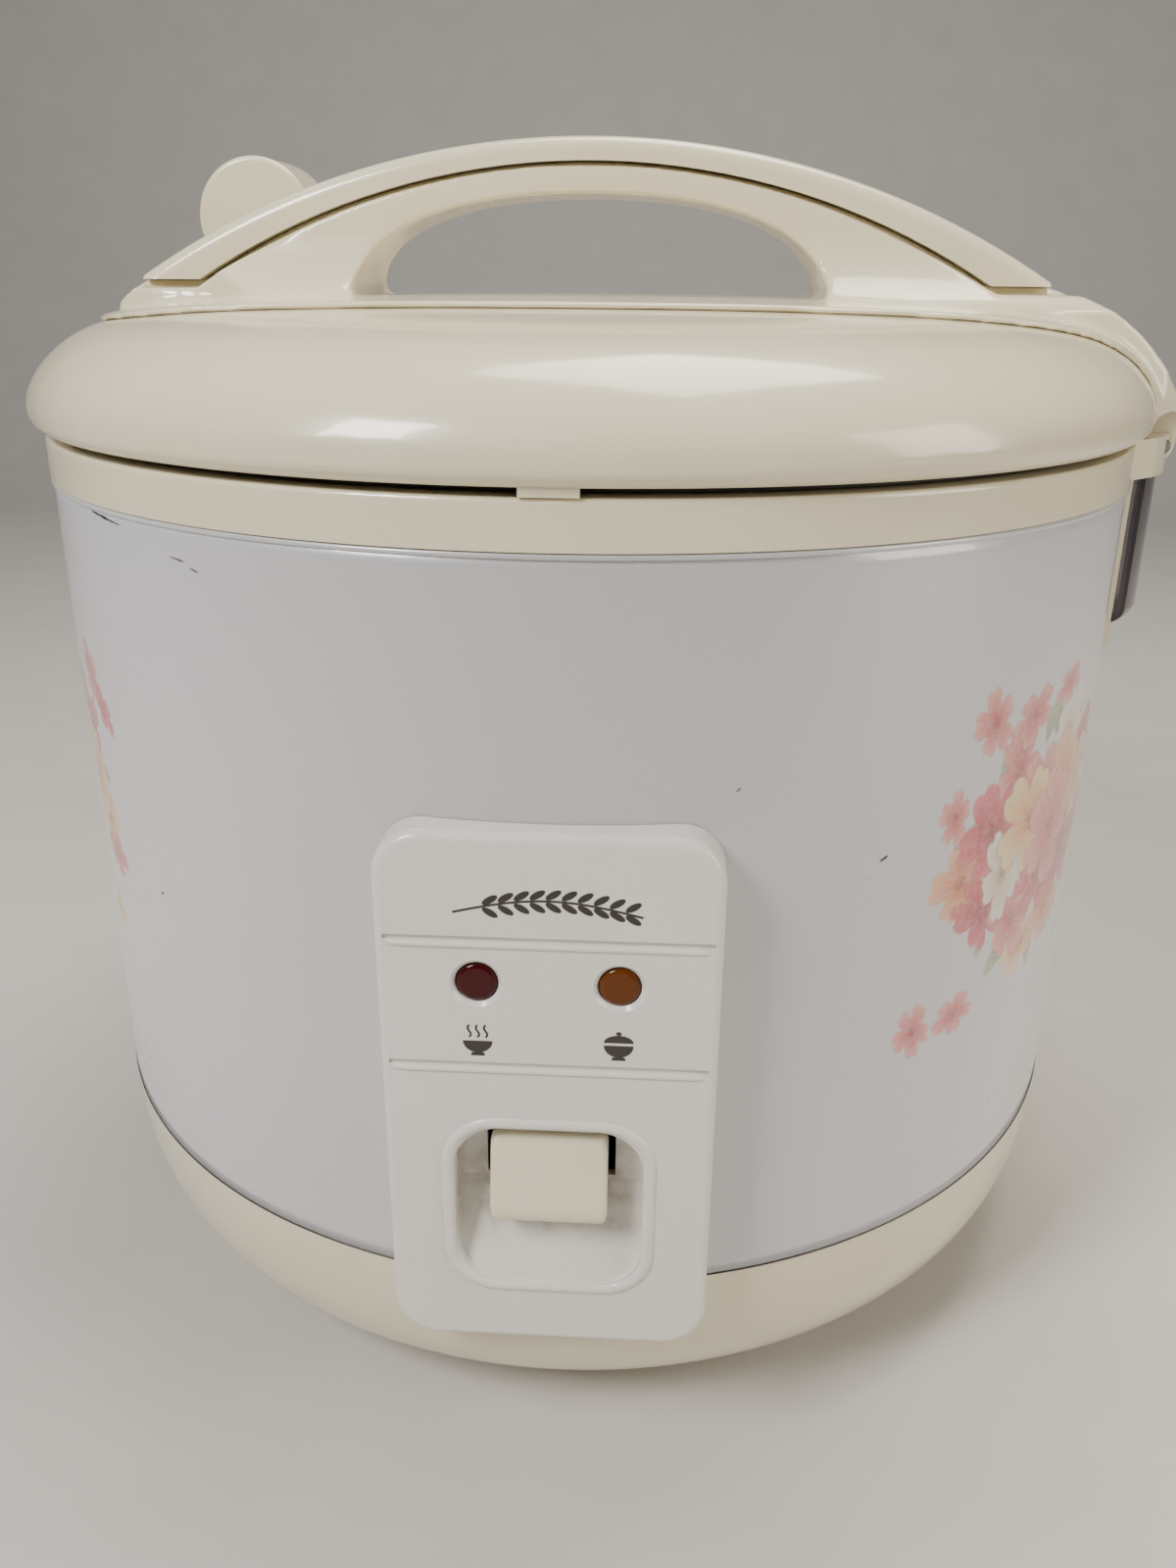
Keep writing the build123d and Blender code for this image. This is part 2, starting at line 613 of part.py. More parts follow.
with BuildPart() as power_inlet:
    with BuildSketch(Plane.XZ.offset(-146.0)):
        with Locations((0, INLET_Z)):
            RectangleRounded(42.0, 30.0, 4.0)
    extrude(amount=8.0)
    disc(0.0, 200.0, CASE_R + 0.2, mode=Mode.SUBTRACT)
    front_box(0, INLET_Z, INLET_W, INLET_H, 144.0, 122.0)
    with BuildSketch(Plane.XZ.offset(-147.0)):
        with Locations((0, INLET_Z)):
            RectangleRounded(24.0, 14.0, 3.0)
    extrude(amount=21.0, mode=Mode.SUBTRACT)
power_inlet.part.label = "power_inlet"
export_step(power_inlet.part, "parts/power_inlet.step")

with BuildPart() as inlet_pins:
    with BuildSketch(Plane.XZ.offset(-141.0)):
        with Locations((-6.0, INLET_Z), (6.0, INLET_Z)):
            Circle(2.0)
    extrude(amount=15.0)
inlet_pins.part.label = "inlet_pins"
export_step(inlet_pins.part, "parts/inlet_pins.step")

# ================================================================ control panel
panel_mid_z = (PANEL_BOTTOM + PANEL_TOP) / 2
panel_h = PANEL_TOP - PANEL_BOTTOM


def pocket_block(grow):
    """The pocket's hollow, or its outside when grown by the wall."""
    half = POCKET_SIZE / 2 + grow
    with BuildPart() as block:
        with BuildSketch(Plane.XZ.offset(136.0)):
            with Locations((0, POCKET_Z)):
                RectangleRounded(POCKET_SIZE + 2 * grow, POCKET_SIZE + 2 * grow, POCKET_CORNER_R + grow)
        extrude(amount=16.0)
        with BuildSketch(Plane.YZ.offset(-40.0)):
            with BuildLine():
                Polyline(
                    (-152.0, POCKET_Z + half),
                    (-152.0, POCKET_Z - half),
                    (-148.0 + grow, POCKET_Z - half),
                    (-140.6 + grow, 83.0),
                    (-140.6 + grow, POCKET_Z + half),
                    close=True,
                )
            make_face()
        extrude(amount=80.0, mode=Mode.INTERSECT)
    return block.part


pocket_hollow = pocket_block(0.0)
pocket_outside = pocket_block(POCKET_WALL)
pocket_tub = pocket_outside.intersect(Pos(0, -143.0, POCKET_Z) * Box(60, 11.9, 60))

with BuildPart() as control_panel:
    with BuildSketch(Plane.XZ.offset(136.0)):
        with Locations((0, panel_mid_z)):
            RectangleRounded(PANEL_W, panel_h, PANEL_CORNER_R)
    extrude(amount=PANEL_FRONT - 136.0)
    fillet(control_panel.faces().sort_by(Axis.Y)[0].edges(), 2.0)
    with BuildSketch(Plane.XZ.offset(136.0)):
        with Locations((0, panel_mid_z)):
            RectangleRounded(PANEL_W - 2 * PANEL_WALL, panel_h - 2 * PANEL_WALL, PANEL_CORNER_R - PANEL_WALL)
    extrude(amount=PANEL_FRONT - PANEL_WALL - 136.0, mode=Mode.SUBTRACT)
    with BuildSketch(Plane.XZ.offset(136.0)):
        for height in PANEL_SCREW_HEIGHTS:
            with Locations((-PANEL_SCREW_X, height), (PANEL_SCREW_X, height)):
                Circle(3.2)
    extrude(amount=PANEL_FRONT - PANEL_WALL - 136.0)
    disc(0.0, 200.0, PANEL_CASE_R, mode=Mode.SUBTRACT)
    add(pocket_tub)
    add(pocket_hollow, mode=Mode.SUBTRACT)
    slot_mid_z = (SLOT_BOTTOM + SLOT_TOP) / 2
    front_box(0, slot_mid_z, SLOT_W, SLOT_TOP - SLOT_BOTTOM, -130.0, -146.0, mode=Mode.SUBTRACT)
    with BuildSketch(Plane.XZ.offset(137.0)):
        for height in PANEL_SCREW_HEIGHTS:
            with Locations((-PANEL_SCREW_X, height), (PANEL_SCREW_X, height)):
                Circle(SCREW_R + SCREW_GAP)
    extrude(amount=8.5, mode=Mode.SUBTRACT)
    for height in GROOVE_HEIGHTS:
        groove_y = 0.8 - PANEL_FRONT
        front_box(0, height, GROOVE_LENGTH, GROOVE_W, groove_y, groove_y - 2, mode=Mode.SUBTRACT)
    with BuildSketch(Plane.XZ.offset(140.0)):
        with Locations((-LAMP_X, LAMP_Z), (LAMP_X, LAMP_Z)):
            Circle(LAMP_R + 0.15)
    extrude(amount=12.0, mode=Mode.SUBTRACT)
    with BuildSketch(Plane.XZ.offset(PANEL_FRONT - 1.0)):
        with Locations((-LAMP_X, LAMP_Z), (LAMP_X, LAMP_Z)):
            Circle(LAMP_R + 0.15)
    extrude(amount=1.2, taper=-42, mode=Mode.SUBTRACT)
control_panel.part.label = "control_panel"
export_step(control_panel.part, "parts/control_panel.step")

with BuildPart() as panel_screws:
    for height in PANEL_SCREW_HEIGHTS:
        with BuildSketch(Plane.XZ.offset(138.4)):
            with Locations((-PANEL_SCREW_X, height), (PANEL_SCREW_X, height)):
                Circle(SCREW_R)
        extrude(amount=6.5)
        with BuildSketch(Plane.XZ.offset(136.4)):
            with Locations((-PANEL_SCREW_X, height), (PANEL_SCREW_X, height)):
                Circle(SCREW_HEAD_R)
        extrude(amount=SCREW_HEAD_H)
panel_screws.part.label = "panel_screws"
export_step(panel_screws.part, "parts/panel_screws.step")


def lamp_lens(x):
    """Lens with a low dome in front and a flange behind the panel's face."""
    with BuildPart() as lens:
        with BuildSketch(Plane.XZ.offset(144.5)):
            with Locations((x, LAMP_Z)):
                Circle(LAMP_R)
        extrude(amount=4.2)
        fillet(lens.edges().group_by(Axis.Y)[0], 1.2)
        with BuildSketch(Plane.XZ.offset(144.5)):
            with Locations((x, LAMP_Z)):
                Circle(LAMP_SINK_R)
        extrude(amount=1.9)
    return lens.part


cook_lamp_lens = lamp_lens(-LAMP_X)
cook_lamp_lens.label = "cook_lamp_lens"
export_step(cook_lamp_lens, "parts/cook_lamp_lens.step")

warm_lamp_lens = lamp_lens(LAMP_X)
warm_lamp_lens.label = "warm_lamp_lens"
export_step(warm_lamp_lens, "parts/warm_lamp_lens.step")

with BuildPart() as neon_lamps:
    with BuildSketch(Plane.XZ.offset(134.6)):
        with Locations((-LAMP_X, LAMP_Z), (LAMP_X, LAMP_Z)):
            Circle(2.6)
    extrude(amount=9.0)
    fillet(neon_lamps.edges().group_by(Axis.Y)[0], 1.5)
neon_lamps.part.label = "neon_lamps"
export_step(neon_lamps.part, "parts/neon_lamps.step")

with BuildPart() as lamp_board:
    front_box(0, 134.0, 46.0, 18.0, -133.0, -134.6)
lamp_board.part.label = "lamp_board"
export_step(lamp_board.part, "parts/lamp_board.step")

# ================================================================ open button
with BuildPart() as open_button:
    button_mid_z = (BUTTON_BOTTOM + BUTTON_TOP) / 2
    with BuildSketch(Plane.YZ.offset(-137.6)):
        with Locations((0, button_mid_z)):
            Rectangle(2 * BUTTON_HALF_W, BUTTON_TOP - BUTTON_BOTTOM)
    extrude(amount=BUTTON_FACE_X + 137.6)
    fillet(open_button.faces().sort_by(Axis.X)[0].edges(), 1.0)
    for side in (-1, 1):
        with BuildSketch(Plane.XY.offset(BUTTON_BOTTOM)):
            with Locations((-131.0, side * 13.5)):
                Rectangle(14.8, 3.0)
        extrude(amount=2.4)
    with BuildSketch(Plane.XY.offset(BUTTON_BOTTOM)):
        with Locations((-125.0, 0)):
            Rectangle(2.4, 30.0)
    extrude(amount=2.4)
open_button.part.label = "open_button"
export_step(open_button.part, "parts/open_button.step")

spring_plane = Plane(origin=(-137.6, -8.5, button_mid_z), z_dir=(1, 0, 0))
button_coil = coil(1.7, 0.3, 3.0, 1.0, spring_plane.offset(0.35))
button_springs = Compound(children=[button_coil, Pos(0, 17.0, 0) * button_coil])
button_springs.label = "button_springs"
export_step(button_springs, "parts/button_springs.step")

# ================================================================ dew cup
with BuildPart() as dew_bracket:
    with BuildSketch(Plane.XY.offset(CUP_BOTTOM - 5)):
        Circle(BRACKET_R)
        Circle(CASE_R + 0.1, mode=Mode.SUBTRACT)
        with Locations((150.0, 0)):
            Rectangle(40.0, 2 * BRACKET_HALF_W, mode=Mode.INTERSECT)
    extrude(amount=CASE_TOP - 0.1 - CUP_BOTTOM + 5)
dew_bracket.part.label = "dew_bracket"
export_step(dew_bracket.part, "parts/dew_bracket.step")

with BuildPart() as dew_cup:
    with BuildSketch(Plane.XY.offset(CUP_BOTTOM)):
        with BuildLine():
            Polyline((146.5, -CUP_HALF_W), (138.0, -CUP_HALF_W), (138.0, CUP_HALF_W), (146.5, CUP_HALF_W))
            ThreePointArc((146.5, -CUP_HALF_W), (CUP_OUTER_X, 0), (146.5, CUP_HALF_W))
        make_face()
        Circle(BRACKET_R + 0.3, mode=Mode.SUBTRACT)
    extrude(amount=CUP_TOP - CUP_BOTTOM)
    fillet(dew_cup.edges().group_by(Axis.Z)[0].sort_by(Axis.X)[-1], 3.6)
    offset(amount=-CUP_WALL, openings=dew_cup.faces().sort_by(Axis.Z)[-1])
dew_cup.part.label = "dew_cup"
export_step(dew_cup.part, "parts/dew_cup.step")

# ================================================================ hinge
with BuildPart() as hinge_pin:
    with BuildSketch(Plane.XZ):
        with Locations((HINGE_X, HINGE_Z)):
            Circle(HINGE_PIN_R)
    extrude(amount=HINGE_PIN_HALF_L, both=True)
hinge_pin.part.label = "hinge_pin"
export_step(hinge_pin.part, "parts/hinge_pin.step")

hinge_coil_plane = Plane(origin=(HINGE_X, -9.0, HINGE_Z), z_dir=(0, 1, 0))
hinge_spring = coil(3.4, 0.7, 18.0, 1.8, hinge_coil_plane)
hinge_spring.label = "hinge_spring"
export_step(hinge_spring, "parts/hinge_spring.step")

# ================================================================ lid shells
lid_inside = raised(LID_PROFILE, -LID_WALL)
lid_inside[-1] = (LID_PROFILE[-1][0] - LID_WALL, LID_EDGE_Z)
with BuildPart() as lid_shell:
    with BuildSketch(Plane.XZ):
        with BuildLine():
            Spline(*LID_PROFILE, tangents=((1, 0), (-1, -0.7)))
            Line(LID_PROFILE[-1], lid_inside[-1])
            Spline(*lid_inside, tangents=((1, 0), (-0.7, -1)))
            Line(lid_inside[0], LID_PROFILE[0])
        make_face()
    revolve(axis=Axis.Z)
    # locating tab at the front of the edge
    front_box(0, LID_EDGE_Z - 0.2, 11.2, 3.0, -141.6, -144.0)
    # cavity that clears the hinge barrel, and the duct's hole
    with BuildSketch(Plane.XZ):
        with Locations((HINGE_X, HINGE_Z)):
            Circle(SWEEP_R)
    extrude(amount=BARREL_HALF_W + 1, both=True, mode=Mode.SUBTRACT)
    disc(240.0, 280.0, DUCT_R + 0.2, [(STEAM_X, DUCT_Y)], mode=Mode.SUBTRACT)
lid_shell.part.label = "lid_shell"
export_step(lid_shell.part, "parts/lid_shell.step")

crown_profile = raised(LID_PROFILE, CROWN_RISE)
crown_underside = raised(LID_PROFILE, CROWN_RISE / 2)
crown_outline = (
    (-129.0, 0.0), (-124.0, -34.0), (-104.0, -61.0), (-60.0, -70.0), (0.0, -71.5), (60.0, -70.5),
    (104.0, -64.0), (128.0, -50.0), (144.0, -36.0),
)

foot_outline = (
    (-132.0, 0.0), (-127.0, -13.0), (-116.0, -17.3), (-98.0, -20.0), (-84.0, -28.0), (-66.0, -34.5),
    (-40.0, -36.0), (40.0, -36.0), (84.0, -35.5), (118.0, -32.5), (146.0, -31.0), (156.5, -23.0),
    (159.5, -12.0), (160.8, 0.0),
)


def arc_z(x, top, radius):
    """Height of a circular arch at x."""
    return top - radius + sqrt(radius**2 - x**2)


# raised crown that covers the middle of the lid from side to side; the arch is added below
with BuildPart() as lid_handle:
    with BuildSketch(Plane.XZ):
        with BuildLine():
            Spline(*crown_profile, tangents=((1, 0), (-1, -0.7)))
            Spline(*LID_PROFILE, tangents=((1, 0), (-1, -0.7)))
            Line(crown_profile[0], LID_PROFILE[0])
            Line(crown_profile[-1], LID_PROFILE[-1])
        make_face()
    revolve(axis=Axis.Z)
    with BuildSketch(Plane.XY.offset(LID_EDGE_Z)):
        with BuildLine():
            Spline(*crown_outline, tangents=((0, -1), (1, 0.8)))
            Line(crown_outline[-1], (155.0, -29.0))
            Line((155.0, -29.0), (155.0, 29.0))
            Line((155.0, 29.0), (144.0, 36.0))
            Spline(*[(x, -y) for x, y in crown_outline], tangents=((0, 1), (1, -0.8)))
        make_face()
    extrude(amount=60.0, mode=Mode.INTERSECT)

spine_points = (
    (STRIP_END_X, STRIP_END_Z), (134.0, 261.4), (145.0, 251.5), (151.5, 243.6), (COVER_TIP_X, 237.6),
)
latch_end_points = (
    (60.0, 250.0), (-60.0, 250.0), (-131.5, 252.0), (-131.5, 260.5), (-STRIP_END_X, STRIP_END_Z),
)

with BuildPart() as handle_arch:
    inner_x = sqrt(STRIP_BOTTOM_R**2 - (STRIP_END_Z - STRIP_BOTTOM + STRIP_BOTTOM_R) ** 2)
    with BuildSketch(Plane.XZ):
        with BuildLine():
            Line((-STRIP_END_X, STRIP_END_Z), (-inner_x, STRIP_END_Z))
            ThreePointArc((-inner_x, STRIP_END_Z), (0, STRIP_BOTTOM), (inner_x, STRIP_END_Z))
            Line((inner_x, STRIP_END_Z), (STRIP_END_X, STRIP_END_Z))
            Spline(*spine_points)
            Line((COVER_TIP_X, 237.6), (COVER_TIP_X - 0.6, COVER_EDGE_Z))
            Polyline((COVER_TIP_X - 0.6, COVER_EDGE_Z), (130.0, COVER_EDGE_Z), (60.0, 250.0))
            Polyline(*latch_end_points)
        make_face()
        with BuildLine():
            Bezier((-WINDOW_HALF, 268.0), (-58.0, 281.0), (-38.0, WINDOW_TOP), (0, WINDOW_TOP))
            Bezier((0, WINDOW_TOP), (38.0, WINDOW_TOP), (58.0, 281.0), (WINDOW_HALF, 268.0))
            Polyline(
                (WINDOW_HALF, 268.0), (WINDOW_HALF, 245.0), (-WINDOW_HALF, 245.0), (-WINDOW_HALF, 268.0)
            )
        make_face(mode=Mode.SUBTRACT)
    extrude(amount=FOOT_HALF_W, both=True)
    # cross-section: a slim arch whose feet flare out onto the crown
    with BuildSketch(Plane.YZ.offset(-180.0)):
        with BuildLine():
            Polyline((-HANDLE_HALF_W, FOOT_TOP), (-HANDLE_HALF_W, 310.0))
            Line((-HANDLE_HALF_W, 310.0), (HANDLE_HALF_W, 310.0))
            Line((HANDLE_HALF_W, 310.0), (HANDLE_HALF_W, FOOT_TOP))
            ThreePointArc((HANDLE_HALF_W, FOOT_TOP), (21.0, 270.5), (FOOT_HALF_W, 262.5))
            Line((FOOT_HALF_W, 262.5), (FOOT_HALF_W, 230.0))
            Line((FOOT_HALF_W, 230.0), (-FOOT_HALF_W, 230.0))
            Line((-FOOT_HALF_W, 230.0), (-FOOT_HALF_W, 262.5))
            ThreePointArc((-FOOT_HALF_W, 262.5), (-21.0, 270.5), (-HANDLE_HALF_W, FOOT_TOP))
        make_face()
    extrude(amount=360.0, mode=Mode.INTERSECT)
    # plan: the feet narrow towards the latch end and the hinge cover
    with BuildSketch(Plane.XY.offset(230.0)):
        with BuildLine():
            Polyline(*foot_outline)
            Polyline(*[(x, -y) for x, y in foot_outline])
        make_face()
    extrude(amount=100.0, mode=Mode.INTERSECT)
    # groove under the strip: the two meet only along the core
    gap_end_z = STRIP_END_Z - STRIP_END_GAP
    for side in (-1, 1):
        with BuildSketch(Plane.XZ.offset(side * CORE_HALF_W)):
            with BuildLine():
                Line((-140.0, STRIP_END_Z), (-inner_x, STRIP_END_Z))
                ThreePointArc((-inner_x, STRIP_END_Z), (0, STRIP_BOTTOM), (inner_x, STRIP_END_Z))
                Line((inner_x, STRIP_END_Z), (140.0, STRIP_END_Z))
                Line((140.0, STRIP_END_Z), (140.0, gap_end_z))
                Line((140.0, gap_end_z), (inner_x, gap_end_z))
                ThreePointArc((inner_x, gap_end_z), (0, STRIP_BOTTOM - STRIP_GAP), (-inner_x, gap_end_z))
                Polyline((-inner_x, gap_end_z), (-140.0, gap_end_z), (-140.0, STRIP_END_Z))
            make_face()
        extrude(amount=side * 40.0, mode=Mode.SUBTRACT)

    # nothing of the arch reaches below the crown
    with BuildSketch(Plane.XZ):
        with BuildLine():
            Spline(*crown_underside, tangents=((1, 0), (-1, -0.7)))
            Polyline(crown_underside[-1], (0, crown_underside[-1][1]), crown_underside[0])
        make_face()
    revolve(axis=Axis.Z, mode=Mode.SUBTRACT)

with lid_handle:
    add(handle_arch.part)
    # cavity over the hinge barrel
    with BuildSketch(Plane.XZ):
        with Locations((HINGE_X, HINGE_Z)):
            Circle(SWEEP_R)
    extrude(amount=BARREL_HALF_W + 1, both=True, mode=Mode.SUBTRACT)
    disc(240.0, 280.0, DUCT_R + 0.2, [(STEAM_X, DUCT_Y)], mode=Mode.SUBTRACT)
    # room for the steam cap behind the arch
    with BuildSketch(Plane.XZ.offset(STEAM_GAP - STEAM_FRONT_Y)):
        with Locations((STEAM_X, STEAM_Z)):
            Circle(STEAM_R + STEAM_GAP)
    extrude(amount=STEAM_FRONT_Y - STEAM_BACK_Y, mode=Mode.SUBTRACT)
    disc(266.0, STEAM_Z, DUCT_R + 2.0 + STEAM_GAP, [(STEAM_X, DUCT_Y)], mode=Mode.SUBTRACT)
    # lugs that carry the lid on the hinge pin
    for lug_y in (-LUG_Y, LUG_Y):
        with BuildSketch(Plane.XZ.offset(-lug_y)):
            with Locations((HINGE_X, HINGE_Z)):
                Circle(LUG_R)
            with Locations((HINGE_X + 1.0, HINGE_Z + 5.5)):
                Rectangle(2 * LUG_R - 2, 11.0)
            with Locations((HINGE_X, HINGE_Z)):
                Circle(HINGE_PIN_R + HINGE_CLEARANCE, mode=Mode.SUBTRACT)
        extrude(amount=LUG_W / 2, both=True)
lid_handle.part.label = "lid_handle"
export_step(lid_handle.part, "parts/lid_handle.step")

with BuildPart() as handle_strip:
    with BuildSketch(Plane.XZ):
        with BuildLine():
            top_end_z = arc_z(STRIP_END_X, HANDLE_TOP, HANDLE_TOP_R)
            ThreePointArc((-STRIP_END_X, top_end_z), (0, HANDLE_TOP), (STRIP_END_X, top_end_z))
            Polyline((STRIP_END_X, top_end_z), (STRIP_END_X, STRIP_END_Z), (inner_x, STRIP_END_Z))
            ThreePointArc((inner_x, STRIP_END_Z), (0, STRIP_BOTTOM), (-inner_x, STRIP_END_Z))
            Polyline((-inner_x, STRIP_END_Z), (-STRIP_END_X, STRIP_END_Z), (-STRIP_END_X, top_end_z))
        make_face()
    extrude(amount=HANDLE_HALF_W, both=True)
    top_edges = handle_strip.faces().filter_by(GeomType.CYLINDER).sort_by(Axis.Z)[-1].edges()
    fillet(top_edges.filter_by(lambda e: abs(e.center().Y) > HANDLE_HALF_W - 1), 3.6)
handle_strip.part.label = "handle_strip"
export_step(handle_strip.part, "parts/handle_strip.step")

# ================================================================ inside the lid
lid_screw_points = ring_points(124.0, 4, 45)
with BuildPart() as lid_frame:
    tube(LID_FRAME_Z, LID_FRAME_Z + 2, LID_FRAME_R, WELL_R - 2)
    tube(WELL_FLOOR, LID_FRAME_Z + 2, WELL_R, WELL_R - 2)
    disc(WELL_FLOOR, WELL_FLOOR + 1.5, WELL_R - 1)
    disc(WELL_FLOOR - 1, WELL_FLOOR + 3, DUCT_R + 0.2, [(STEAM_X, DUCT_Y)], mode=Mode.SUBTRACT)
    with BuildSketch(Plane.XZ):
        with Locations((HINGE_X, HINGE_Z)):
            Circle(12.5)
    extrude(amount=BARREL_HALF_W + 3, both=True, mode=Mode.SUBTRACT)
    disc(LID_FRAME_Z - 1, LID_FRAME_Z + 3, SCREW_R + SCREW_GAP, lid_screw_points, mode=Mode.SUBTRACT)
    disc(WELL_FLOOR - 0.9, WELL_FLOOR, 7.0)
    disc(223.5, WELL_FLOOR - 0.9, 2.6)
lid_frame.part.label = "lid_frame"
export_step(lid_frame.part, "parts/lid_frame.step")

with BuildPart() as lid_heater:
    tube(WELL_FLOOR + 1.5, WELL_FLOOR + 2.3, 92.0, 20.0)
    disc(WELL_FLOOR, WELL_FLOOR + 4, DUCT_R + 4, [(STEAM_X, DUCT_Y)], mode=Mode.SUBTRACT)
    for loop_r in (35.0, 50.0, 65.0):
        tube(WELL_FLOOR + 2.3, WELL_FLOOR + 4.3, loop_r + 1, loop_r - 1)
lid_heater.part.label = "lid_heater"
export_step(lid_heater.part, "parts/lid_heater.step")

with BuildPart() as inner_lid:
    disc(INNER_LID_Z, INNER_LID_Z + 1, INNER_LID_R)
    tube(226.8, INNER_LID_Z + 1, INNER_LID_R, INNER_LID_R - 1)
    disc(INNER_LID_Z - 1, INNER_LID_Z + 2, 6.2, mode=Mode.SUBTRACT)
    with BuildSketch(Plane.XY.offset(INNER_LID_Z - 1)):
        with PolarLocations(78.0, 5, start_angle=125.0, angular_range=70.0):
            Circle(2.0)
    extrude(amount=3.0, mode=Mode.SUBTRACT)
inner_lid.part.label = "inner_lid"
export_step(inner_lid.part, "parts/inner_lid.step")

with BuildPart() as inner_lid_knob:
    tube(226.5, INNER_LID_Z - 0.05, 11.0, 2.65)
    fillet(inner_lid_knob.edges().group_by(Axis.Z)[0].sort_by(SortBy.LENGTH)[-1], 1.5)
    tube(INNER_LID_Z - 0.05, INNER_LID_Z + 1.05, 6.0, 2.65)
inner_lid_knob.part.label = "inner_lid_knob"
export_step(inner_lid_knob.part, "parts/inner_lid_knob.step")

with BuildPart() as inner_lid_gasket:
    tube(226.5, 230.0, 116.2, INNER_LID_R + 0.05)
    fillet(inner_lid_gasket.edges().group_by(Axis.Z)[0].sort_by(SortBy.LENGTH)[-1], 1.2)
inner_lid_gasket.part.label = "inner_lid_gasket"
export_step(inner_lid_gasket.part, "parts/inner_lid_gasket.step")

with BuildPart() as lid_gasket:
    tube(RING_TOP + 0.3, LID_FRAME_Z, 137.5, 134.0)
    with BuildSketch(Plane.XZ):
        with Locations((HINGE_X, HINGE_Z)):
            Circle(17.0)
    extrude(amount=60.0, both=True, mode=Mode.SUBTRACT)
lid_gasket.part.label = "lid_gasket"
export_step(lid_gasket.part, "parts/lid_gasket.step")

with BuildPart() as latch_hook:
    with BuildSketch(Plane.XZ):
        with BuildLine():
            Polyline(
                (-130.6, LID_FRAME_Z), (-130.6, 225.6), (-126.5, 225.6), (-126.5, 227.0),
                (-128.4, 228.4), (-128.4, LID_FRAME_Z), close=True,
            )
        make_face()
    extrude(amount=4.0, both=True)
latch_hook.part.label = "latch_hook"
export_step(latch_hook.part, "parts/latch_hook.step")

# ================================================================ steam outlet
with BuildPart() as steam_duct:
    with BuildSketch(Plane.XY.offset(WELL_FLOOR)):
        with Locations((STEAM_X, DUCT_Y)):
            Circle(DUCT_R)
            Circle(DUCT_R - 1.6, mode=Mode.SUBTRACT)
    extrude(amount=278.0 - WELL_FLOOR)
steam_duct.part.label = "steam_duct"
export_step(steam_duct.part, "parts/steam_duct.step")

with BuildPart() as steam_cap:
    # short drum lying on its side, on a socket that drops over the duct
    with BuildSketch(Plane.XZ.offset(-STEAM_FRONT_Y)):
        with Locations((STEAM_X, STEAM_Z)):
            Circle(STEAM_R)
    extrude(amount=STEAM_FRONT_Y - STEAM_BACK_Y)
    fillet(steam_cap.edges().group_by(Axis.Y)[0], 1.6)
    fillet(steam_cap.edges().group_by(Axis.Y)[-1], 1.2)
    disc(266.4, STEAM_Z - 8, DUCT_R + 2.0, [(STEAM_X, DUCT_Y)])
    with BuildSketch(Plane.XZ.offset(-STEAM_FRONT_Y - 2)):
        with Locations((STEAM_X, STEAM_Z)):
            Circle(STEAM_R - 2)
    extrude(amount=STEAM_FRONT_Y - STEAM_BACK_Y + 4, mode=Mode.SUBTRACT)
    disc(266.0, STEAM_Z - 4, DUCT_R + 0.3, [(STEAM_X, DUCT_Y)], mode=Mode.SUBTRACT)
    with BuildSketch(Plane.XZ.offset(-STEAM_BACK_Y + 4)):
        with Locations((STEAM_X, STEAM_Z)):
            with GridLocations(0, 5.0, 1, 3):
                SlotOverall(18.0, 2.4)
    extrude(amount=-8.0, mode=Mode.SUBTRACT)
steam_cap.part.label = "steam_cap"
export_step(steam_cap.part, "parts/steam_cap.step")

# ================================================================ lid fasteners
with BuildPart() as lid_screws:
    disc(LID_FRAME_Z - SCREW_HEAD_H + 0.4, LID_FRAME_Z, SCREW_HEAD_R, lid_screw_points)
    disc(LID_FRAME_Z, 244.0, SCREW_R, lid_screw_points)
lid_screws.part.label = "lid_screws"
export_step(lid_screws.part, "parts/lid_screws.step")
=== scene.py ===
import json
import math
import random

import bmesh
import bpy
import numpy as np
from mathutils import Matrix, Vector


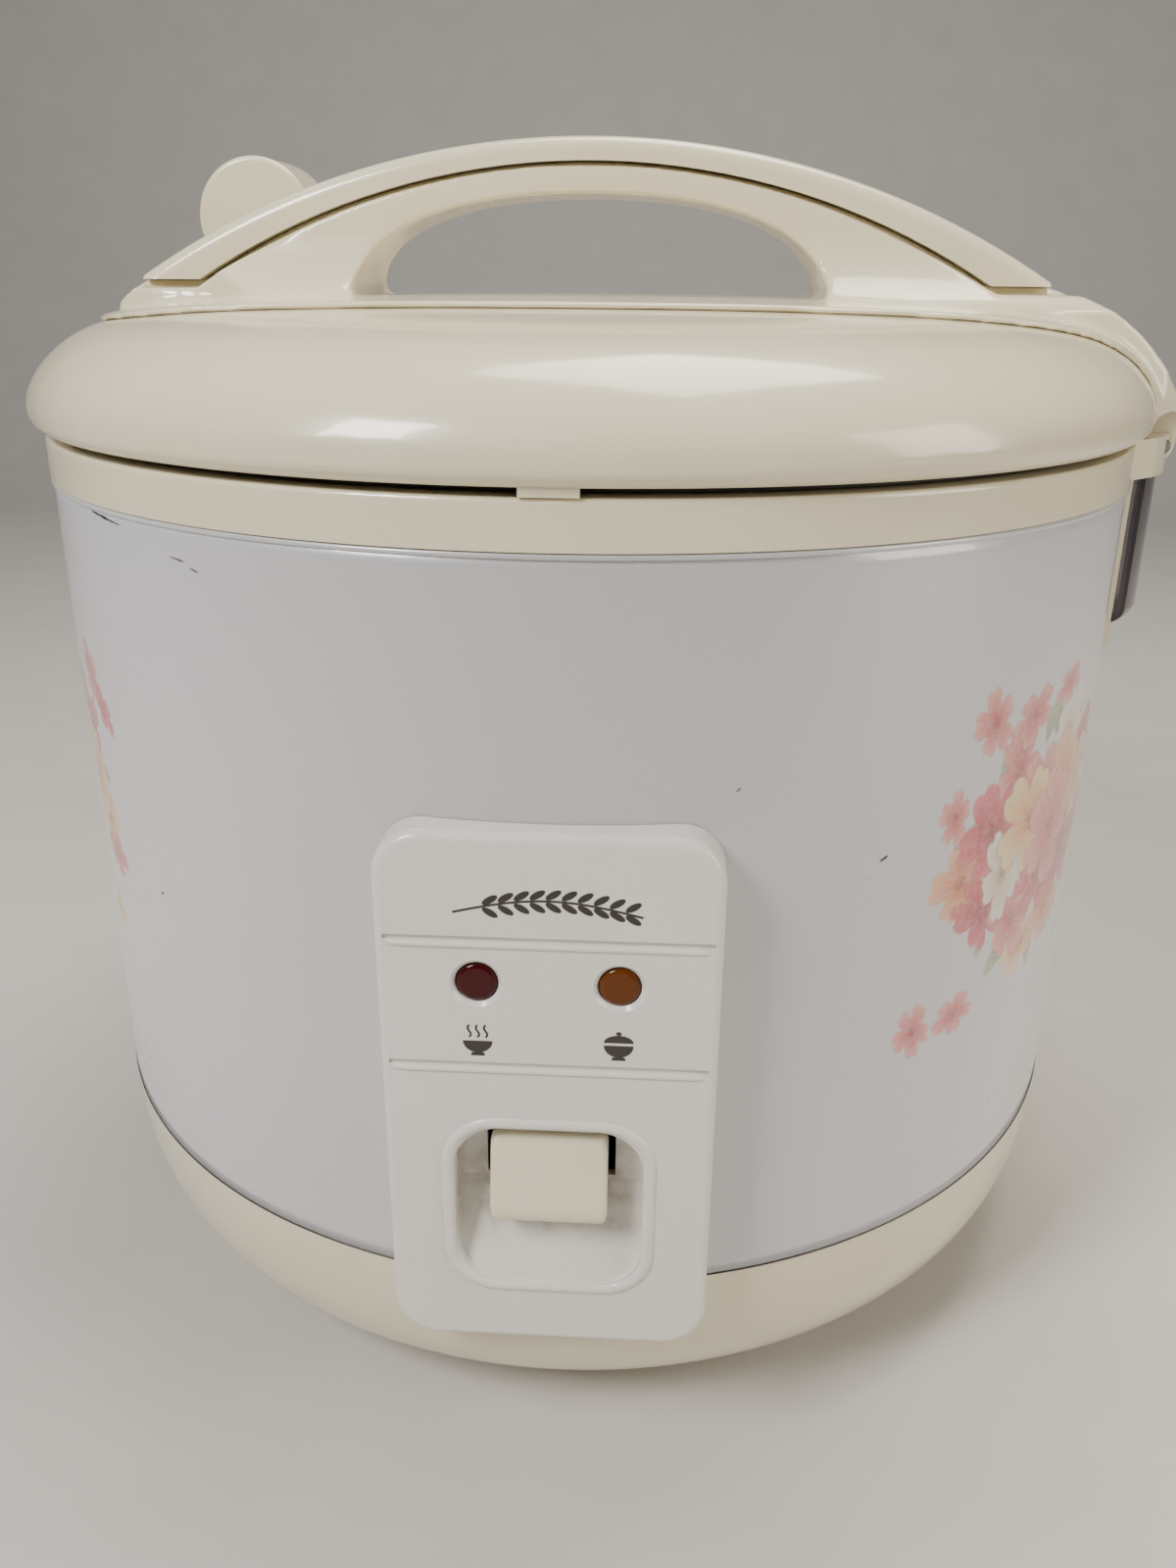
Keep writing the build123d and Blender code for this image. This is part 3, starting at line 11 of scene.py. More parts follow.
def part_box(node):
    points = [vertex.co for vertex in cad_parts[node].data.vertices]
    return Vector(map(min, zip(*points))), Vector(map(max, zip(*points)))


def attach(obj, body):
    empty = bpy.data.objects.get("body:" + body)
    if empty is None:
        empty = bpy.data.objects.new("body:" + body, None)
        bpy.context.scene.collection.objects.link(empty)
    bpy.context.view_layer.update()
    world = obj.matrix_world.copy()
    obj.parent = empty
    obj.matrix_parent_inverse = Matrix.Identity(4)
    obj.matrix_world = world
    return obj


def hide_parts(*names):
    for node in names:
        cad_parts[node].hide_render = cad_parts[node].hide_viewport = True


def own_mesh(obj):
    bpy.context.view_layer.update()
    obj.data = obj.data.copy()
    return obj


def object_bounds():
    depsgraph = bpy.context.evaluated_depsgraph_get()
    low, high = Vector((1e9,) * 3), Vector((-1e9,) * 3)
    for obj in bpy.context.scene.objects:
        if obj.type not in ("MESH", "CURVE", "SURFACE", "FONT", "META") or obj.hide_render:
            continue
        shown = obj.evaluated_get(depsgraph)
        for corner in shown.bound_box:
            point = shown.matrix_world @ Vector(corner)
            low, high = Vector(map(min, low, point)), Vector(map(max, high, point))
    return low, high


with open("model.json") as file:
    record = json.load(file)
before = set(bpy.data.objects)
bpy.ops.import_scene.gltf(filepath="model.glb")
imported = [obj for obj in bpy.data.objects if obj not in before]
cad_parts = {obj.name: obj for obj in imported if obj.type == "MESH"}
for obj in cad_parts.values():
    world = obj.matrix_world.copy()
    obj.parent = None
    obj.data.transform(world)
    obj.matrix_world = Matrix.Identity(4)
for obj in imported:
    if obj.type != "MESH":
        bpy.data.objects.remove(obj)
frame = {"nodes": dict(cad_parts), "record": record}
cad_lo, cad_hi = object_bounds()
SEED = 7
rng = random.Random(SEED)

BODY = "cooker_body"
LID = "lid"
SWITCH = "switch_lever"


# ---------------------------------------------------------------- node material helpers
def new_material(name):
    m = bpy.data.materials.new(name)
    m.use_nodes = True
    nodes, links = m.node_tree.nodes, m.node_tree.links
    return m, nodes, links, nodes["Principled BSDF"]


def object_coords(nodes):
    return nodes.new("ShaderNodeTexCoord").outputs["Object"]


def noise(nodes, links, scale, detail=2.0, roughness=0.5, vector=None):
    n = nodes.new("ShaderNodeTexNoise")
    n.inputs["Scale"].default_value = scale
    n.inputs["Detail"].default_value = detail
    n.inputs["Roughness"].default_value = roughness
    links.new(vector or object_coords(nodes), n.inputs["Vector"])
    return n.outputs["Fac"]


def remap(nodes, links, value, lo, hi, out_lo, out_hi):
    m = nodes.new("ShaderNodeMapRange")
    m.inputs["From Min"].default_value = lo
    m.inputs["From Max"].default_value = hi
    m.inputs["To Min"].default_value = out_lo
    m.inputs["To Max"].default_value = out_hi
    links.new(value, m.inputs["Value"])
    return m.outputs["Result"]


def mix_colors(nodes, links, factor, a, b):
    """Colour a where the factor is 0 and b where it is 1; either may be a socket."""
    m = nodes.new("ShaderNodeMix")
    m.data_type = "RGBA"
    links.new(factor, m.inputs["Factor"])
    for socket, color in ((m.inputs["A"], a), (m.inputs["B"], b)):
        if isinstance(color, tuple):
            socket.default_value = (*color, 1.0)
        else:
            links.new(color, socket)
    return m.outputs["Result"]


def math_node(nodes, links, operation, a, b):
    m = nodes.new("ShaderNodeMath")
    m.operation = operation
    for socket, value in ((m.inputs[0], a), (m.inputs[1], b)):
        if isinstance(value, (int, float)):
            socket.default_value = value
        else:
            links.new(value, socket)
    return m.outputs["Value"]


def add_bump(nodes, links, shader, height, strength, distance):
    b = nodes.new("ShaderNodeBump")
    b.inputs["Strength"].default_value = strength
    b.inputs["Distance"].default_value = distance
    links.new(height, b.inputs["Height"])
    links.new(b.outputs["Normal"], shader.inputs["Normal"])


def moulded(name, light, dark, rough_lo, rough_hi, coat=0.0, bump=0.02, metallic=0.0):
    """A solid material whose colour and roughness drift a little from place to place."""
    m, nodes, links, shader = new_material(name)
    drift = noise(nodes, links, 22.0, 3.0)
    color = mix_colors(nodes, links, remap(nodes, links, drift, 0.3, 0.7, 0.0, 1.0), dark, light)
    links.new(color, shader.inputs["Base Color"])
    smudge = noise(nodes, links, 60.0, 4.0, 0.6)
    links.new(remap(nodes, links, smudge, 0.3, 0.75, rough_lo, rough_hi), shader.inputs["Roughness"])
    shader.inputs["Metallic"].default_value = metallic
    shader.inputs["Coat Weight"].default_value = coat
    shader.inputs["Coat Roughness"].default_value = 0.06
    add_bump(nodes, links, shader, noise(nodes, links, 900.0, 2.0), bump, 0.0002)
    return m


def brushed(name, light, dark, rough_lo, rough_hi, stretch):
    """Metal with fine marks drawn out along one direction."""
    m, nodes, links, shader = new_material(name)
    mapping = nodes.new("ShaderNodeMapping")
    mapping.inputs["Scale"].default_value = stretch
    links.new(object_coords(nodes), mapping.inputs["Vector"])
    marks = noise(nodes, links, 300.0, 4.0, 0.7, mapping.outputs["Vector"])
    color = mix_colors(nodes, links, remap(nodes, links, marks, 0.3, 0.7, 0.0, 1.0), dark, light)
    links.new(color, shader.inputs["Base Color"])
    links.new(remap(nodes, links, marks, 0.3, 0.7, rough_lo, rough_hi), shader.inputs["Roughness"])
    shader.inputs["Metallic"].default_value = 1.0
    add_bump(nodes, links, shader, marks, 0.08, 0.0002)
    return m


CLEAR_IOR = 1.49
CLEAR_SPECULAR = 0.15
WIPE_ROUGHNESS = 0.08


def tinted_clear(name, color, roughness, transmission):
    """Clear coloured plastic or glass with faint wipe marks."""
    m, nodes, links, shader = new_material(name)
    shader.inputs["Base Color"].default_value = (*color, 1.0)
    wipe = noise(nodes, links, 80.0, 3.0)
    worn = remap(nodes, links, wipe, 0.3, 0.7, roughness, roughness + WIPE_ROUGHNESS)
    links.new(worn, shader.inputs["Roughness"])
    shader.inputs["Transmission Weight"].default_value = transmission
    shader.inputs["IOR"].default_value = CLEAR_IOR
    shader.inputs["Specular IOR Level"].default_value = CLEAR_SPECULAR
    return m


def box_mask(nodes, links, axis_values, soft):
    """1 inside a box given as {axis: (centre, half)}, falling to 0 over soft metres."""
    split = nodes.new("ShaderNodeSeparateXYZ")
    links.new(object_coords(nodes), split.inputs[0])
    mask = None
    for axis, (centre, half) in axis_values.items():
        offset = math_node(nodes, links, "SUBTRACT", split.outputs[axis], centre)
        off = math_node(nodes, links, "ABSOLUTE", offset, 0.0)
        side = remap(nodes, links, off, half, half + soft, 1.0, 0.0)
        mask = side if mask is None else math_node(nodes, links, "MULTIPLY", mask, side)
    return mask


# ---------------------------------------------------------------- the record's finishes
IVORY = (0.80, 0.735, 0.545)
IVORY_DEEP = (0.77, 0.695, 0.495)
# light and dark colour, lowest and highest roughness, then coat, bump and metallic where they differ
MOULDED = {
    "ivory_plastic": (IVORY, IVORY_DEEP, 0.16, 0.26, 0.5),
    "silicone": ((0.62, 0.61, 0.57), (0.56, 0.55, 0.50), 0.45, 0.6),
    "silicone_dark": ((0.035, 0.024, 0.018), (0.025, 0.018, 0.014), 0.5, 0.65),
    "rubber_dark": ((0.03, 0.03, 0.03), (0.02, 0.02, 0.02), 0.6, 0.8, 0.0, 0.1),
    "phenolic": ((0.04, 0.03, 0.026), (0.028, 0.022, 0.02), 0.35, 0.5),
    "board": ((0.42, 0.28, 0.10), (0.36, 0.23, 0.08), 0.5, 0.7),
    "wire_cover": ((0.66, 0.65, 0.58), (0.58, 0.57, 0.5), 0.4, 0.55),
    "ferrite": ((0.07, 0.07, 0.075), (0.045, 0.045, 0.05), 0.4, 0.6, 0.0, 0.02, 0.4),
    "cast_heater": ((0.56, 0.56, 0.56), (0.46, 0.46, 0.47), 0.35, 0.5, 0.0, 0.25, 1.0),
}
# light and dark colour, lowest and highest roughness, and how much closer the marks lie along each axis
BRUSHED = {
    "steel": ((0.62, 0.62, 0.63), (0.5, 0.5, 0.52), 0.22, 0.36, (1, 1, 12)),
    "zinc_plate": ((0.56, 0.57, 0.58), (0.44, 0.45, 0.46), 0.3, 0.45, (4, 4, 1)),
    "aluminium": ((0.76, 0.76, 0.77), (0.66, 0.66, 0.67), 0.24, 0.38, (1, 1, 10)),
    "brass": ((0.72, 0.52, 0.2), (0.6, 0.42, 0.15), 0.25, 0.4, (6, 6, 1)),
}
# colour, roughness and transmission
CLEAR = {
    "smoke_clear": ((0.34, 0.31, 0.34), 0.05, 0.92),
    "neon_glass": ((0.9, 0.78, 0.7), 0.03, 0.9),
    "lens_red": ((0.07, 0.002, 0.004), 0.10, 0.35),
    "lens_amber": ((0.17, 0.045, 0.004), 0.10, 0.35),
}
finishes = {}
for make, table in ((moulded, MOULDED), (brushed, BRUSHED), (tinted_clear, CLEAR)):
    for name, values in table.items():
        finishes[name] = make(name, *values)


def pearl_enamel(name, printed):
    """Cool pearly enamel with a painted sheen that makes it a little brighter where it turns away from
    the eye, bare or printed.
    """
    m, nodes, links, shader = new_material(name)
    drift = noise(nodes, links, 14.0, 2.0)
    body = mix_colors(nodes, links, drift, (0.515, 0.513, 0.525), (0.56, 0.555, 0.56))
    # painted sheen: the colour is mixed toward pale blue-white near the silhouette, standing in for
    # light on the flanks
    edge = nodes.new("ShaderNodeLayerWeight")
    edge.inputs["Blend"].default_value = 0.35
    color = mix_colors(nodes, links, edge.outputs["Facing"], body, (0.78, 0.78, 0.83))
    if printed:
        tint = nodes.new("ShaderNodeVertexColor")
        tint.layer_name = "tint"
        fleck = remap(nodes, links, noise(nodes, links, 520.0, 4.0, 0.7), 0.4, 0.7, 1.0, 0.72)
        cover = math_node(nodes, links, "MULTIPLY", tint.outputs["Alpha"], fleck)
        color = mix_colors(nodes, links, cover, color, tint.outputs["Color"])
    links.new(color, shader.inputs["Base Color"])
    shader.inputs["Metallic"].default_value = 0.12
    shader.inputs["Coat Weight"].default_value = 0.8
    shader.inputs["Coat Roughness"].default_value = 0.05
    smudge = noise(nodes, links, 45.0, 4.0, 0.6)
    links.new(remap(nodes, links, smudge, 0.3, 0.75, 0.26, 0.38), shader.inputs["Roughness"])
    add_bump(nodes, links, shader, noise(nodes, links, 1400.0, 2.0), 0.03, 0.0001)
    return m


GRIME_MIDDLE_Z = 0.081
GRIME_HALF_W = 0.015
GRIME_HALF_H = 0.007
GRIME_SOFT = 0.006


def panel_plastic():
    """White moulding with grime worn into the pocket round the switch key."""
    m, nodes, links, shader = new_material("panel_white")
    drift = noise(nodes, links, 30.0, 3.0)
    clean = mix_colors(nodes, links, drift, (0.74, 0.715, 0.65), (0.80, 0.78, 0.72))
    spans = {"X": (0.0, GRIME_HALF_W), "Z": (GRIME_MIDDLE_Z, GRIME_HALF_H)}
    near_key = box_mask(nodes, links, spans, GRIME_SOFT)
    patches = remap(nodes, links, noise(nodes, links, 260.0, 3.0, 0.5), 0.38, 0.72, 0.0, 0.55)
    grime = math_node(nodes, links, "MULTIPLY", near_key, patches)
    links.new(mix_colors(nodes, links, grime, clean, (0.27, 0.18, 0.09)), shader.inputs["Base Color"])
    smudge = noise(nodes, links, 70.0, 4.0, 0.6)
    links.new(remap(nodes, links, smudge, 0.3, 0.75, 0.24, 0.36), shader.inputs["Roughness"])
    shader.inputs["Coat Weight"].default_value = 0.25
    add_bump(nodes, links, shader, noise(nodes, links, 900.0, 2.0), 0.03, 0.0002)
    return m


finishes["pearl_case"] = pearl_enamel("pearl_case", False)
finishes["panel_white"] = panel_plastic()

for part in frame["record"]["subparts"]:
    node = frame["nodes"][part["node"]]
    node.data.materials.clear()
    node.data.materials.append(finishes[part["material_slot"]])


# ---------------------------------------------------------------- mesh helpers
def mesh_object(name, bm, body, slot):
    """Turns a finished bmesh into a smooth piece that rides on a body, in its slot's finish."""
    mesh = bpy.data.meshes.new(name)
    bmesh.ops.recalc_face_normals(bm, faces=bm.faces)
    bm.to_mesh(mesh)
    bm.free()
    for polygon in mesh.polygons:
        polygon.use_smooth = True
    obj = bpy.data.objects.new(name, mesh)
    bpy.context.scene.collection.objects.link(obj)
    obj.data.materials.append(finishes[slot])
    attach(obj, body)
    return obj


def cad_copy(name, node):
    """A new object with a copy of a CAD node's mesh."""
    obj = bpy.data.objects.new(name, frame["nodes"][node].data.copy())
    bpy.context.scene.collection.objects.link(obj)
    return obj


# ---------------------------------------------------------------- lid handle and sensor spring
HANDLE_VOXEL = 0.0008
HANDLE_SOFTENING = 14


def softened_handle():
    """The crown, arch and hinge cover as one moulding whose feet flow into the crown."""
    obj = cad_copy("handle_moulding", "lid_handle")
    remesh = obj.modifiers.new("blend", "REMESH")
    remesh.mode = "VOXEL"
    remesh.voxel_size = HANDLE_VOXEL
    remesh.use_smooth_shade = True
    smooth = obj.modifiers.new("soften", "SMOOTH")
    smooth.factor = 0.5
    smooth.iterations = HANDLE_SOFTENING
    obj.data.materials.clear()
    obj.data.materials.append(finishes["ivory_plastic"])
    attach(obj, LID)
    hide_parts("lid_handle")


def thermostat_spring():
    """The coil under the sensor cap, as a copy with its own mesh."""
    obj = cad_copy("sensor_coil", "sensor_spring")
    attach(obj, BODY)
    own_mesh(obj)
    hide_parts("sensor_spring")


softened_handle()
thermostat_spring()

# ---------------------------------------------------------------- case trim and wear
case_lo, case_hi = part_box("outer_case")
CASE_R = (case_hi.x - case_lo.x) / 2
HOOP_SEGMENTS = 256
HOOP_SIDES = 10
BEAD_R = 0.0006
BEAD_DROP = 0.0008
SHADOW_R = 0.0003
SHADOW_INSET = 0.0001


def hoop(name, radius, height, tube_r, slot):
    """Thin round bead that runs all the way round the case."""
    bm = bmesh.new()
    rings = []
    for i in range(HOOP_SEGMENTS):
        a = math.tau * i / HOOP_SEGMENTS
        ring = []
        for j in range(HOOP_SIDES):
            b = math.tau * j / HOOP_SIDES
            r = radius + tube_r * math.cos(b)
            ring.append(bm.verts.new((r * math.cos(a), r * math.sin(a), height + tube_r * math.sin(b))))
        rings.append(ring)
    for i, ring in enumerate(rings):
        after = rings[(i + 1) % HOOP_SEGMENTS]
        for j in range(HOOP_SIDES):
            k = (j + 1) % HOOP_SIDES
            bm.faces.new((ring[j], after[j], after[k], ring[k]))
    mesh_object(name, bm, BODY, slot)


hoop("case_top_bead", CASE_R, case_hi.z - BEAD_DROP, BEAD_R, "pearl_case")
hoop("case_top_shadow", CASE_R - SHADOW_INSET, case_hi.z + SHADOW_INSET, SHADOW_R, "phenolic")
hoop("case_foot_shadow", CASE_R - SHADOW_INSET, case_lo.z, SHADOW_R, "phenolic")

# each mark's turn from the front in degrees, height, length, slope and width
MARKS = (
    (-33.0, 0.2165, 0.0050, -0.10, 0.0003),
    (-31.0, 0.2150, 0.0030, -0.25, 0.0003),
    (-44.0, 0.2220, 0.0150, -0.09, 0.0006),
    (29.0, 0.1560, 0.0022, 0.45, 0.0005),
    (-42.0, 0.1330, 0.0012, 0.2, 0.0006),
    (15.0, 0.1760, 0.0010, 0.9, 0.0003),
)
MARK_RISE = 0.00015
MARK_STEPS = 14


def wrap(turn_deg, across, height, radius):
    """Point on an upright cylinder: turn from the front towards +X, then across along the surface."""
    a = math.radians(turn_deg - 90) + across / radius
    return Vector((radius * math.cos(a), radius * math.sin(a), height))


def scuff():
    """Thin dark marks of uneven width that hug the case."""
    bm = bmesh.new()
    radius = CASE_R + MARK_RISE
    for turn_deg, height, length, slope, width in MARKS:
        pairs = []
        for i in range(MARK_STEPS + 1):
            t = i / MARK_STEPS
            half = width / 2 * math.sin(math.pi * t) ** 0.7 * rng.uniform(0.6, 1.3)
            mid = height + slope * length * t + rng.uniform(-0.08, 0.08) * width
            across = length * (t - 0.5)
            ends = [wrap(turn_deg, across, mid + side * half, radius) for side in (-1, 1)]
            pairs.append([bm.verts.new(end) for end in ends])
        for before, after in zip(pairs, pairs[1:]):
            bm.faces.new((before[0], after[0], after[1], before[1]))
    mesh_object("case_specks", bm, BODY, "silicone_dark")


scuff()

# ---------------------------------------------------------------- floral print on the case
# a palette is the inner and the outer colour of a petal or leaf; sizes and heights are in metres
PINK = ((0.58, 0.05, 0.07), (0.82, 0.37, 0.33))
ROSE = ((0.42, 0.01, 0.04), (0.76, 0.15, 0.18))
PEACH = ((0.72, 0.15, 0.05), (0.84, 0.49, 0.30))
CREAM = ((0.76, 0.27, 0.05), (0.86, 0.72, 0.38))
WHITE = ((0.70, 0.52, 0.30), (0.84, 0.82, 0.76))
LEAF = ((0.16, 0.24, 0.08), (0.38, 0.46, 0.24))
EYE = (0.30, 0.05, 0.02)
SHADE = (0.34, 0.10, 0.09)
BARE = 0.6
PETALS = 5
PETAL_COVER = 0.93
LEAF_COVER = 0.8
SOFT_EDGE = 0.0004
RIM_LINE = 0.00035
SHADOW_SPREAD = 0.0009
BLOSSOM_SIZE = 0.0158
BLOSSOM_TAPER = 0.0052
CASE_SHEET = 0.0008
PRINT_STEP = 0.00045
PLAIN_STEP = 0.004
PRINT_REACH = 0.058
PRINT_LOW, PRINT_HIGH = 0.098, 0.196
# the hole behind the panel, which shows through the panel's slot, and the hole for the mains inlet
SLOT_HOLE_HALF_W = 0.0245
SLOT_HOLE_LOW, SLOT_HOLE_HIGH = 0.058, 0.152
INLET_HOLE_MIDDLE_Z = 0.076
INLET_HOLE_HALF_W, INLET_HOLE_HALF_H = 0.0153, 0.0103
# turn is in degrees from the front; a stray is its offset from the middle, its size and its palette
SPRAYS = (
    {
        "turn": 53, "z": 0.1455, "half_width": 0.037, "half_height": 0.031, "leaves": 22, "count": 19,
        "palettes": (PINK, CREAM, ROSE, PEACH, WHITE, ROSE, PINK),
        "strays": (
            (-0.030, 0.036, 0.0088, PINK), (-0.040, 0.016, 0.0075, PINK), (-0.014, 0.034, 0.0095, PINK),
            (-0.046, -0.036, 0.0080, PINK), (-0.032, -0.036, 0.0078, PINK), (0.004, 0.038, 0.0080, PINK),
        ),
    },
    {
        "turn": -66, "z": 0.147, "half_width": 0.030, "half_height": 0.030, "leaves": 18, "count": 17,
        "palettes": (WHITE, ROSE, WHITE, CREAM, PINK),
        "strays": (
            (0.028, 0.034, 0.0088, PINK), (0.036, 0.026, 0.0078, ROSE), (0.031, -0.014, 0.0080, ROSE),
            (0.024, -0.032, 0.0078, CREAM),
        ),
    },
)


def graded(stops, fine):
    """Positions from the first stop to the last; fine lists the (low, high) spans with close steps."""
    values = [stops[0]]
    while values[-1] < stops[1]:
        here = values[-1]
        close = any(low <= here < high for low, high in fine)
        edges = [low for low, high in fine if low > here]
        step = PRINT_STEP if close else PLAIN_STEP
        values.append(min([here + step, stops[1]] + ([] if close else edges)))
    return np.array(values)


def paint(canvas, color, alpha):
    """Lays a colour over the canvas, an array of red, green, blue and cover."""
    cover = canvas[:, 3]
    total = alpha + cover * (1 - alpha)
    weight = np.where(total > 1e-6, alpha / np.maximum(total, 1e-6), 0.0)[:, None]
    canvas[:, :3] = color * weight + canvas[:, :3] * (1 - weight)
    canvas[:, 3] = total


def paint_blossom(canvas, across, height, x0, z0, size, palette):
    """Notched petals with darker veins round a small eye, seen a little from the side."""
    lean, first = rng.uniform(0, math.tau), rng.uniform(0, math.tau)
    squash = rng.uniform(0.62, 1.0)
    near = np.flatnonzero((np.abs(across - x0) < size * 1.1) & (np.abs(height - z0) < size * 1.1))
    dx, dz = across[near] - x0, height[near] - z0
    u = dx * math.cos(lean) + dz * math.sin(lean)
    v = (dz * math.cos(lean) - dx * math.sin(lean)) / squash
    rho = np.hypot(u, v)
    place = (np.arctan2(v, u) - first) / math.tau * PETALS
    q = 2 * (place - np.floor(place)) - 1
    uneven = 1 + 0.08 * np.sin(np.floor(place) * 2.4 + first * 3)
    notch = 1 - 0.10 * np.exp(-((q / 0.16) ** 2))
    reach = size * uneven * (1 - 0.50 * np.abs(q) ** 3.2) * notch
    s = np.clip(rho / reach, 0, 1)
    inner, outer = np.array(palette[0]), np.array(palette[1])
    vein = np.exp(-((np.abs(q) - 0.32) ** 2) / 0.006) + np.exp(-(q**2) / 0.003)
    deep = np.clip(0.9 * (1 - s**0.9) + 0.6 * vein * (1 - s) + 0.7 * np.abs(q) ** 4 * s, 0, 1)
    rim = np.exp(-(((reach - rho) / RIM_LINE) ** 2))
    deep = np.clip(deep + 0.5 * rim, 0, 1)
    color = outer + (inner - outer) * deep[:, None]
    ring = np.exp(-(((rho / size - 0.15) / 0.045) ** 2)) * (np.cos(np.arctan2(v, u) * 9) > 0)
    eye = np.clip(np.exp(-((rho / size / 0.07) ** 2)) + 0.8 * ring, 0, 1)[:, None]
    color = color * (1 - eye) + np.array(EYE) * eye
    alpha = PETAL_COVER * np.clip((reach - rho) / SOFT_EDGE, 0, 1)
    patch = canvas[near]
    cast = 0.4 * np.exp(-(((rho - reach) / SHADOW_SPREAD) ** 2))
    paint(patch, np.array(SHADE), cast * (patch[:, 3] > 0.3))
    paint(patch, color, alpha)
    canvas[near] = patch


def paint_leaf(canvas, across, height, x0, z0, length, tilt):
    """A pointed leaf with a pale middle rib."""
    dx, dz = across - x0, height - z0
    t = (dx * math.cos(tilt) + dz * math.sin(tilt)) / length
    side = np.abs(dz * math.cos(tilt) - dx * math.sin(tilt)) / length
    half = 0.24 * np.sin(math.pi * np.clip(t, 0, 1)) ** 0.8
    deep = np.clip(1 - 1.3 * t + 0.3 * np.exp(-((side / 0.03) ** 2)), 0, 1)[:, None]
    color = np.array(LEAF[1]) + (np.array(LEAF[0]) - np.array(LEAF[1])) * deep
    alpha = LEAF_COVER * np.clip((half - side) * length / SOFT_EDGE, 0, 1) * (t > 0) * (t < 1)
    paint(canvas, color, alpha)


def paint_spray(canvas, across, height, spray, x0):
    """Leaves round the rim, then blossoms from the rim inwards, then the strays."""
    z0, half_w, half_h = spray["z"], spray["half_width"], spray["half_height"]
    palettes = spray["palettes"]
    for k in range(spray["leaves"]):
        a = math.tau * k / spray["leaves"] + rng.uniform(-0.2, 0.2)
        x, z = x0 + 0.80 * half_w * math.cos(a), z0 + 0.84 * half_h * math.sin(a)
        length = rng.uniform(0.007, 0.012)
        paint_leaf(canvas, across, height, x, z, length, a + rng.uniform(-0.6, 0.6))
    golden = math.pi * (3 - math.sqrt(5))
    count = spray["count"]
    for i in reversed(range(count)):
        r = math.sqrt((i + 0.5) / count)
        x = x0 + half_w * r * math.cos(i * golden) + rng.uniform(-0.002, 0.002)
        z = z0 + half_h * r * math.sin(i * golden) + rng.uniform(-0.002, 0.002)
        size = BLOSSOM_SIZE - BLOSSOM_TAPER * r + rng.uniform(-0.0008, 0.0012)
        paint_blossom(canvas, across, height, x, z, size, palettes[i % len(palettes)])
    for x, z, size, palette in spray["strays"]:
        paint_blossom(canvas, across, height, x0 + x, z0 + z, size, palette)


def enamel_skin():
    """The case's enamel coat with its two printed sprays of blossom."""
    arc = math.radians(1) * CASE_R
    middles = [spray["turn"] * arc for spray in SPRAYS]
    spans = sorted((middle - PRINT_REACH, middle + PRINT_REACH) for middle in middles)
    half_turn = math.pi * CASE_R
    columns = graded((-half_turn, half_turn), spans)[:-1]
    rows = graded((case_lo.z, case_hi.z), [(PRINT_LOW, PRINT_HIGH)])
    across, height = [grid.ravel() for grid in np.meshgrid(columns, rows)]
    canvas = np.zeros((len(across), 4))
    canvas[:, :3] = BARE
    for spray, middle in zip(SPRAYS, middles):
        level = (height > PRINT_LOW) & (height < PRINT_HIGH)
        inside = np.flatnonzero((np.abs(across - middle) < PRINT_REACH) & level)
        patch = canvas[inside]
        paint_spray(patch, across[inside], height[inside], spray, middle)
        canvas[inside] = patch
    angle = across / CASE_R - math.pi / 2
    points = np.stack((CASE_R * np.cos(angle), CASE_R * np.sin(angle), height), axis=1)
    wide = len(columns)
    start = np.arange(len(rows) - 1)[:, None] * wide
    left = (start + np.arange(wide)).ravel()
    right = (start + (np.arange(wide) + 1) % wide).ravel()
    faces = np.stack((left, right, right + wide, left + wide), axis=1)
    x, y, z = points[faces].mean(axis=1).T
    behind_slot = (y < 0) & (np.abs(x) < SLOT_HOLE_HALF_W) & (z > SLOT_HOLE_LOW) & (z < SLOT_HOLE_HIGH)
    at_inlet = (np.abs(x) < INLET_HOLE_HALF_W) & (np.abs(z - INLET_HOLE_MIDDLE_Z) < INLET_HOLE_HALF_H)
    faces = faces[~(behind_slot | ((y > 0) & at_inlet))]
    mesh = bpy.data.meshes.new("case_enamel")
    mesh.from_pydata(points.tolist(), [], faces.tolist())
    tint = mesh.color_attributes.new("tint", "FLOAT_COLOR", "POINT")
    tint.data.foreach_set("color", canvas.astype(np.float32).ravel())
    for polygon in mesh.polygons:
        polygon.use_smooth = True
    skin = bpy.data.objects.new("case_enamel", mesh)
    bpy.context.scene.collection.objects.link(skin)
    skin.data.materials.append(pearl_enamel("printed_enamel", True))
    sheet = skin.modifiers.new("sheet", "SOLIDIFY")
    sheet.thickness = CASE_SHEET
    sheet.offset = -1.0
    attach(skin, BODY)
    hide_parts("outer_case")


enamel_skin()

# ---------------------------------------------------------------- panel details
panel_lo, panel_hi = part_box("control_panel")
key_lo, key_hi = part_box("switch_key")
cook_lo, cook_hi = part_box("cook_lamp_lens")
warm_lo, warm_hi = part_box("warm_lamp_lens")
PANEL_FACE = panel_lo.y
LIP_SUNK = 0.0003
LIP_DROP = -0.007
LIP_HALF = 0.0232
LIP_CORNER = 0.0118
LIP_W = 0.0026
LIP_RISE = 0.0011
LIP_SIDES = 10
GROOVE_HALF = 0.0332
GROOVE_LIP_W = 0.0015
GROOVE_LIP_RISE = 0.00085
GROOVE_STEPS = 48
GROOVE_SIDES = 8
GROOVE_TAPER = 24
GROOVE_LOW = 0.0734
GROOVE_HIGH = 0.1029
KEY_BACK_Y = -0.1434
KEY_NOSE_R = 0.0026
KEY_EDGE_R = 0.0016
KEY_LIP = 0.0006
KEY_FLAT = 0.0034
KEY_SLOPE_BACK = 0.0042
KEY_SLOPE_TOP = 0.0008
KEY_SLOPE_DROP = 0.0152
KEY_STEPS = 8
KEY_STATIONS = 40
PRINT_RISE = 0.00005
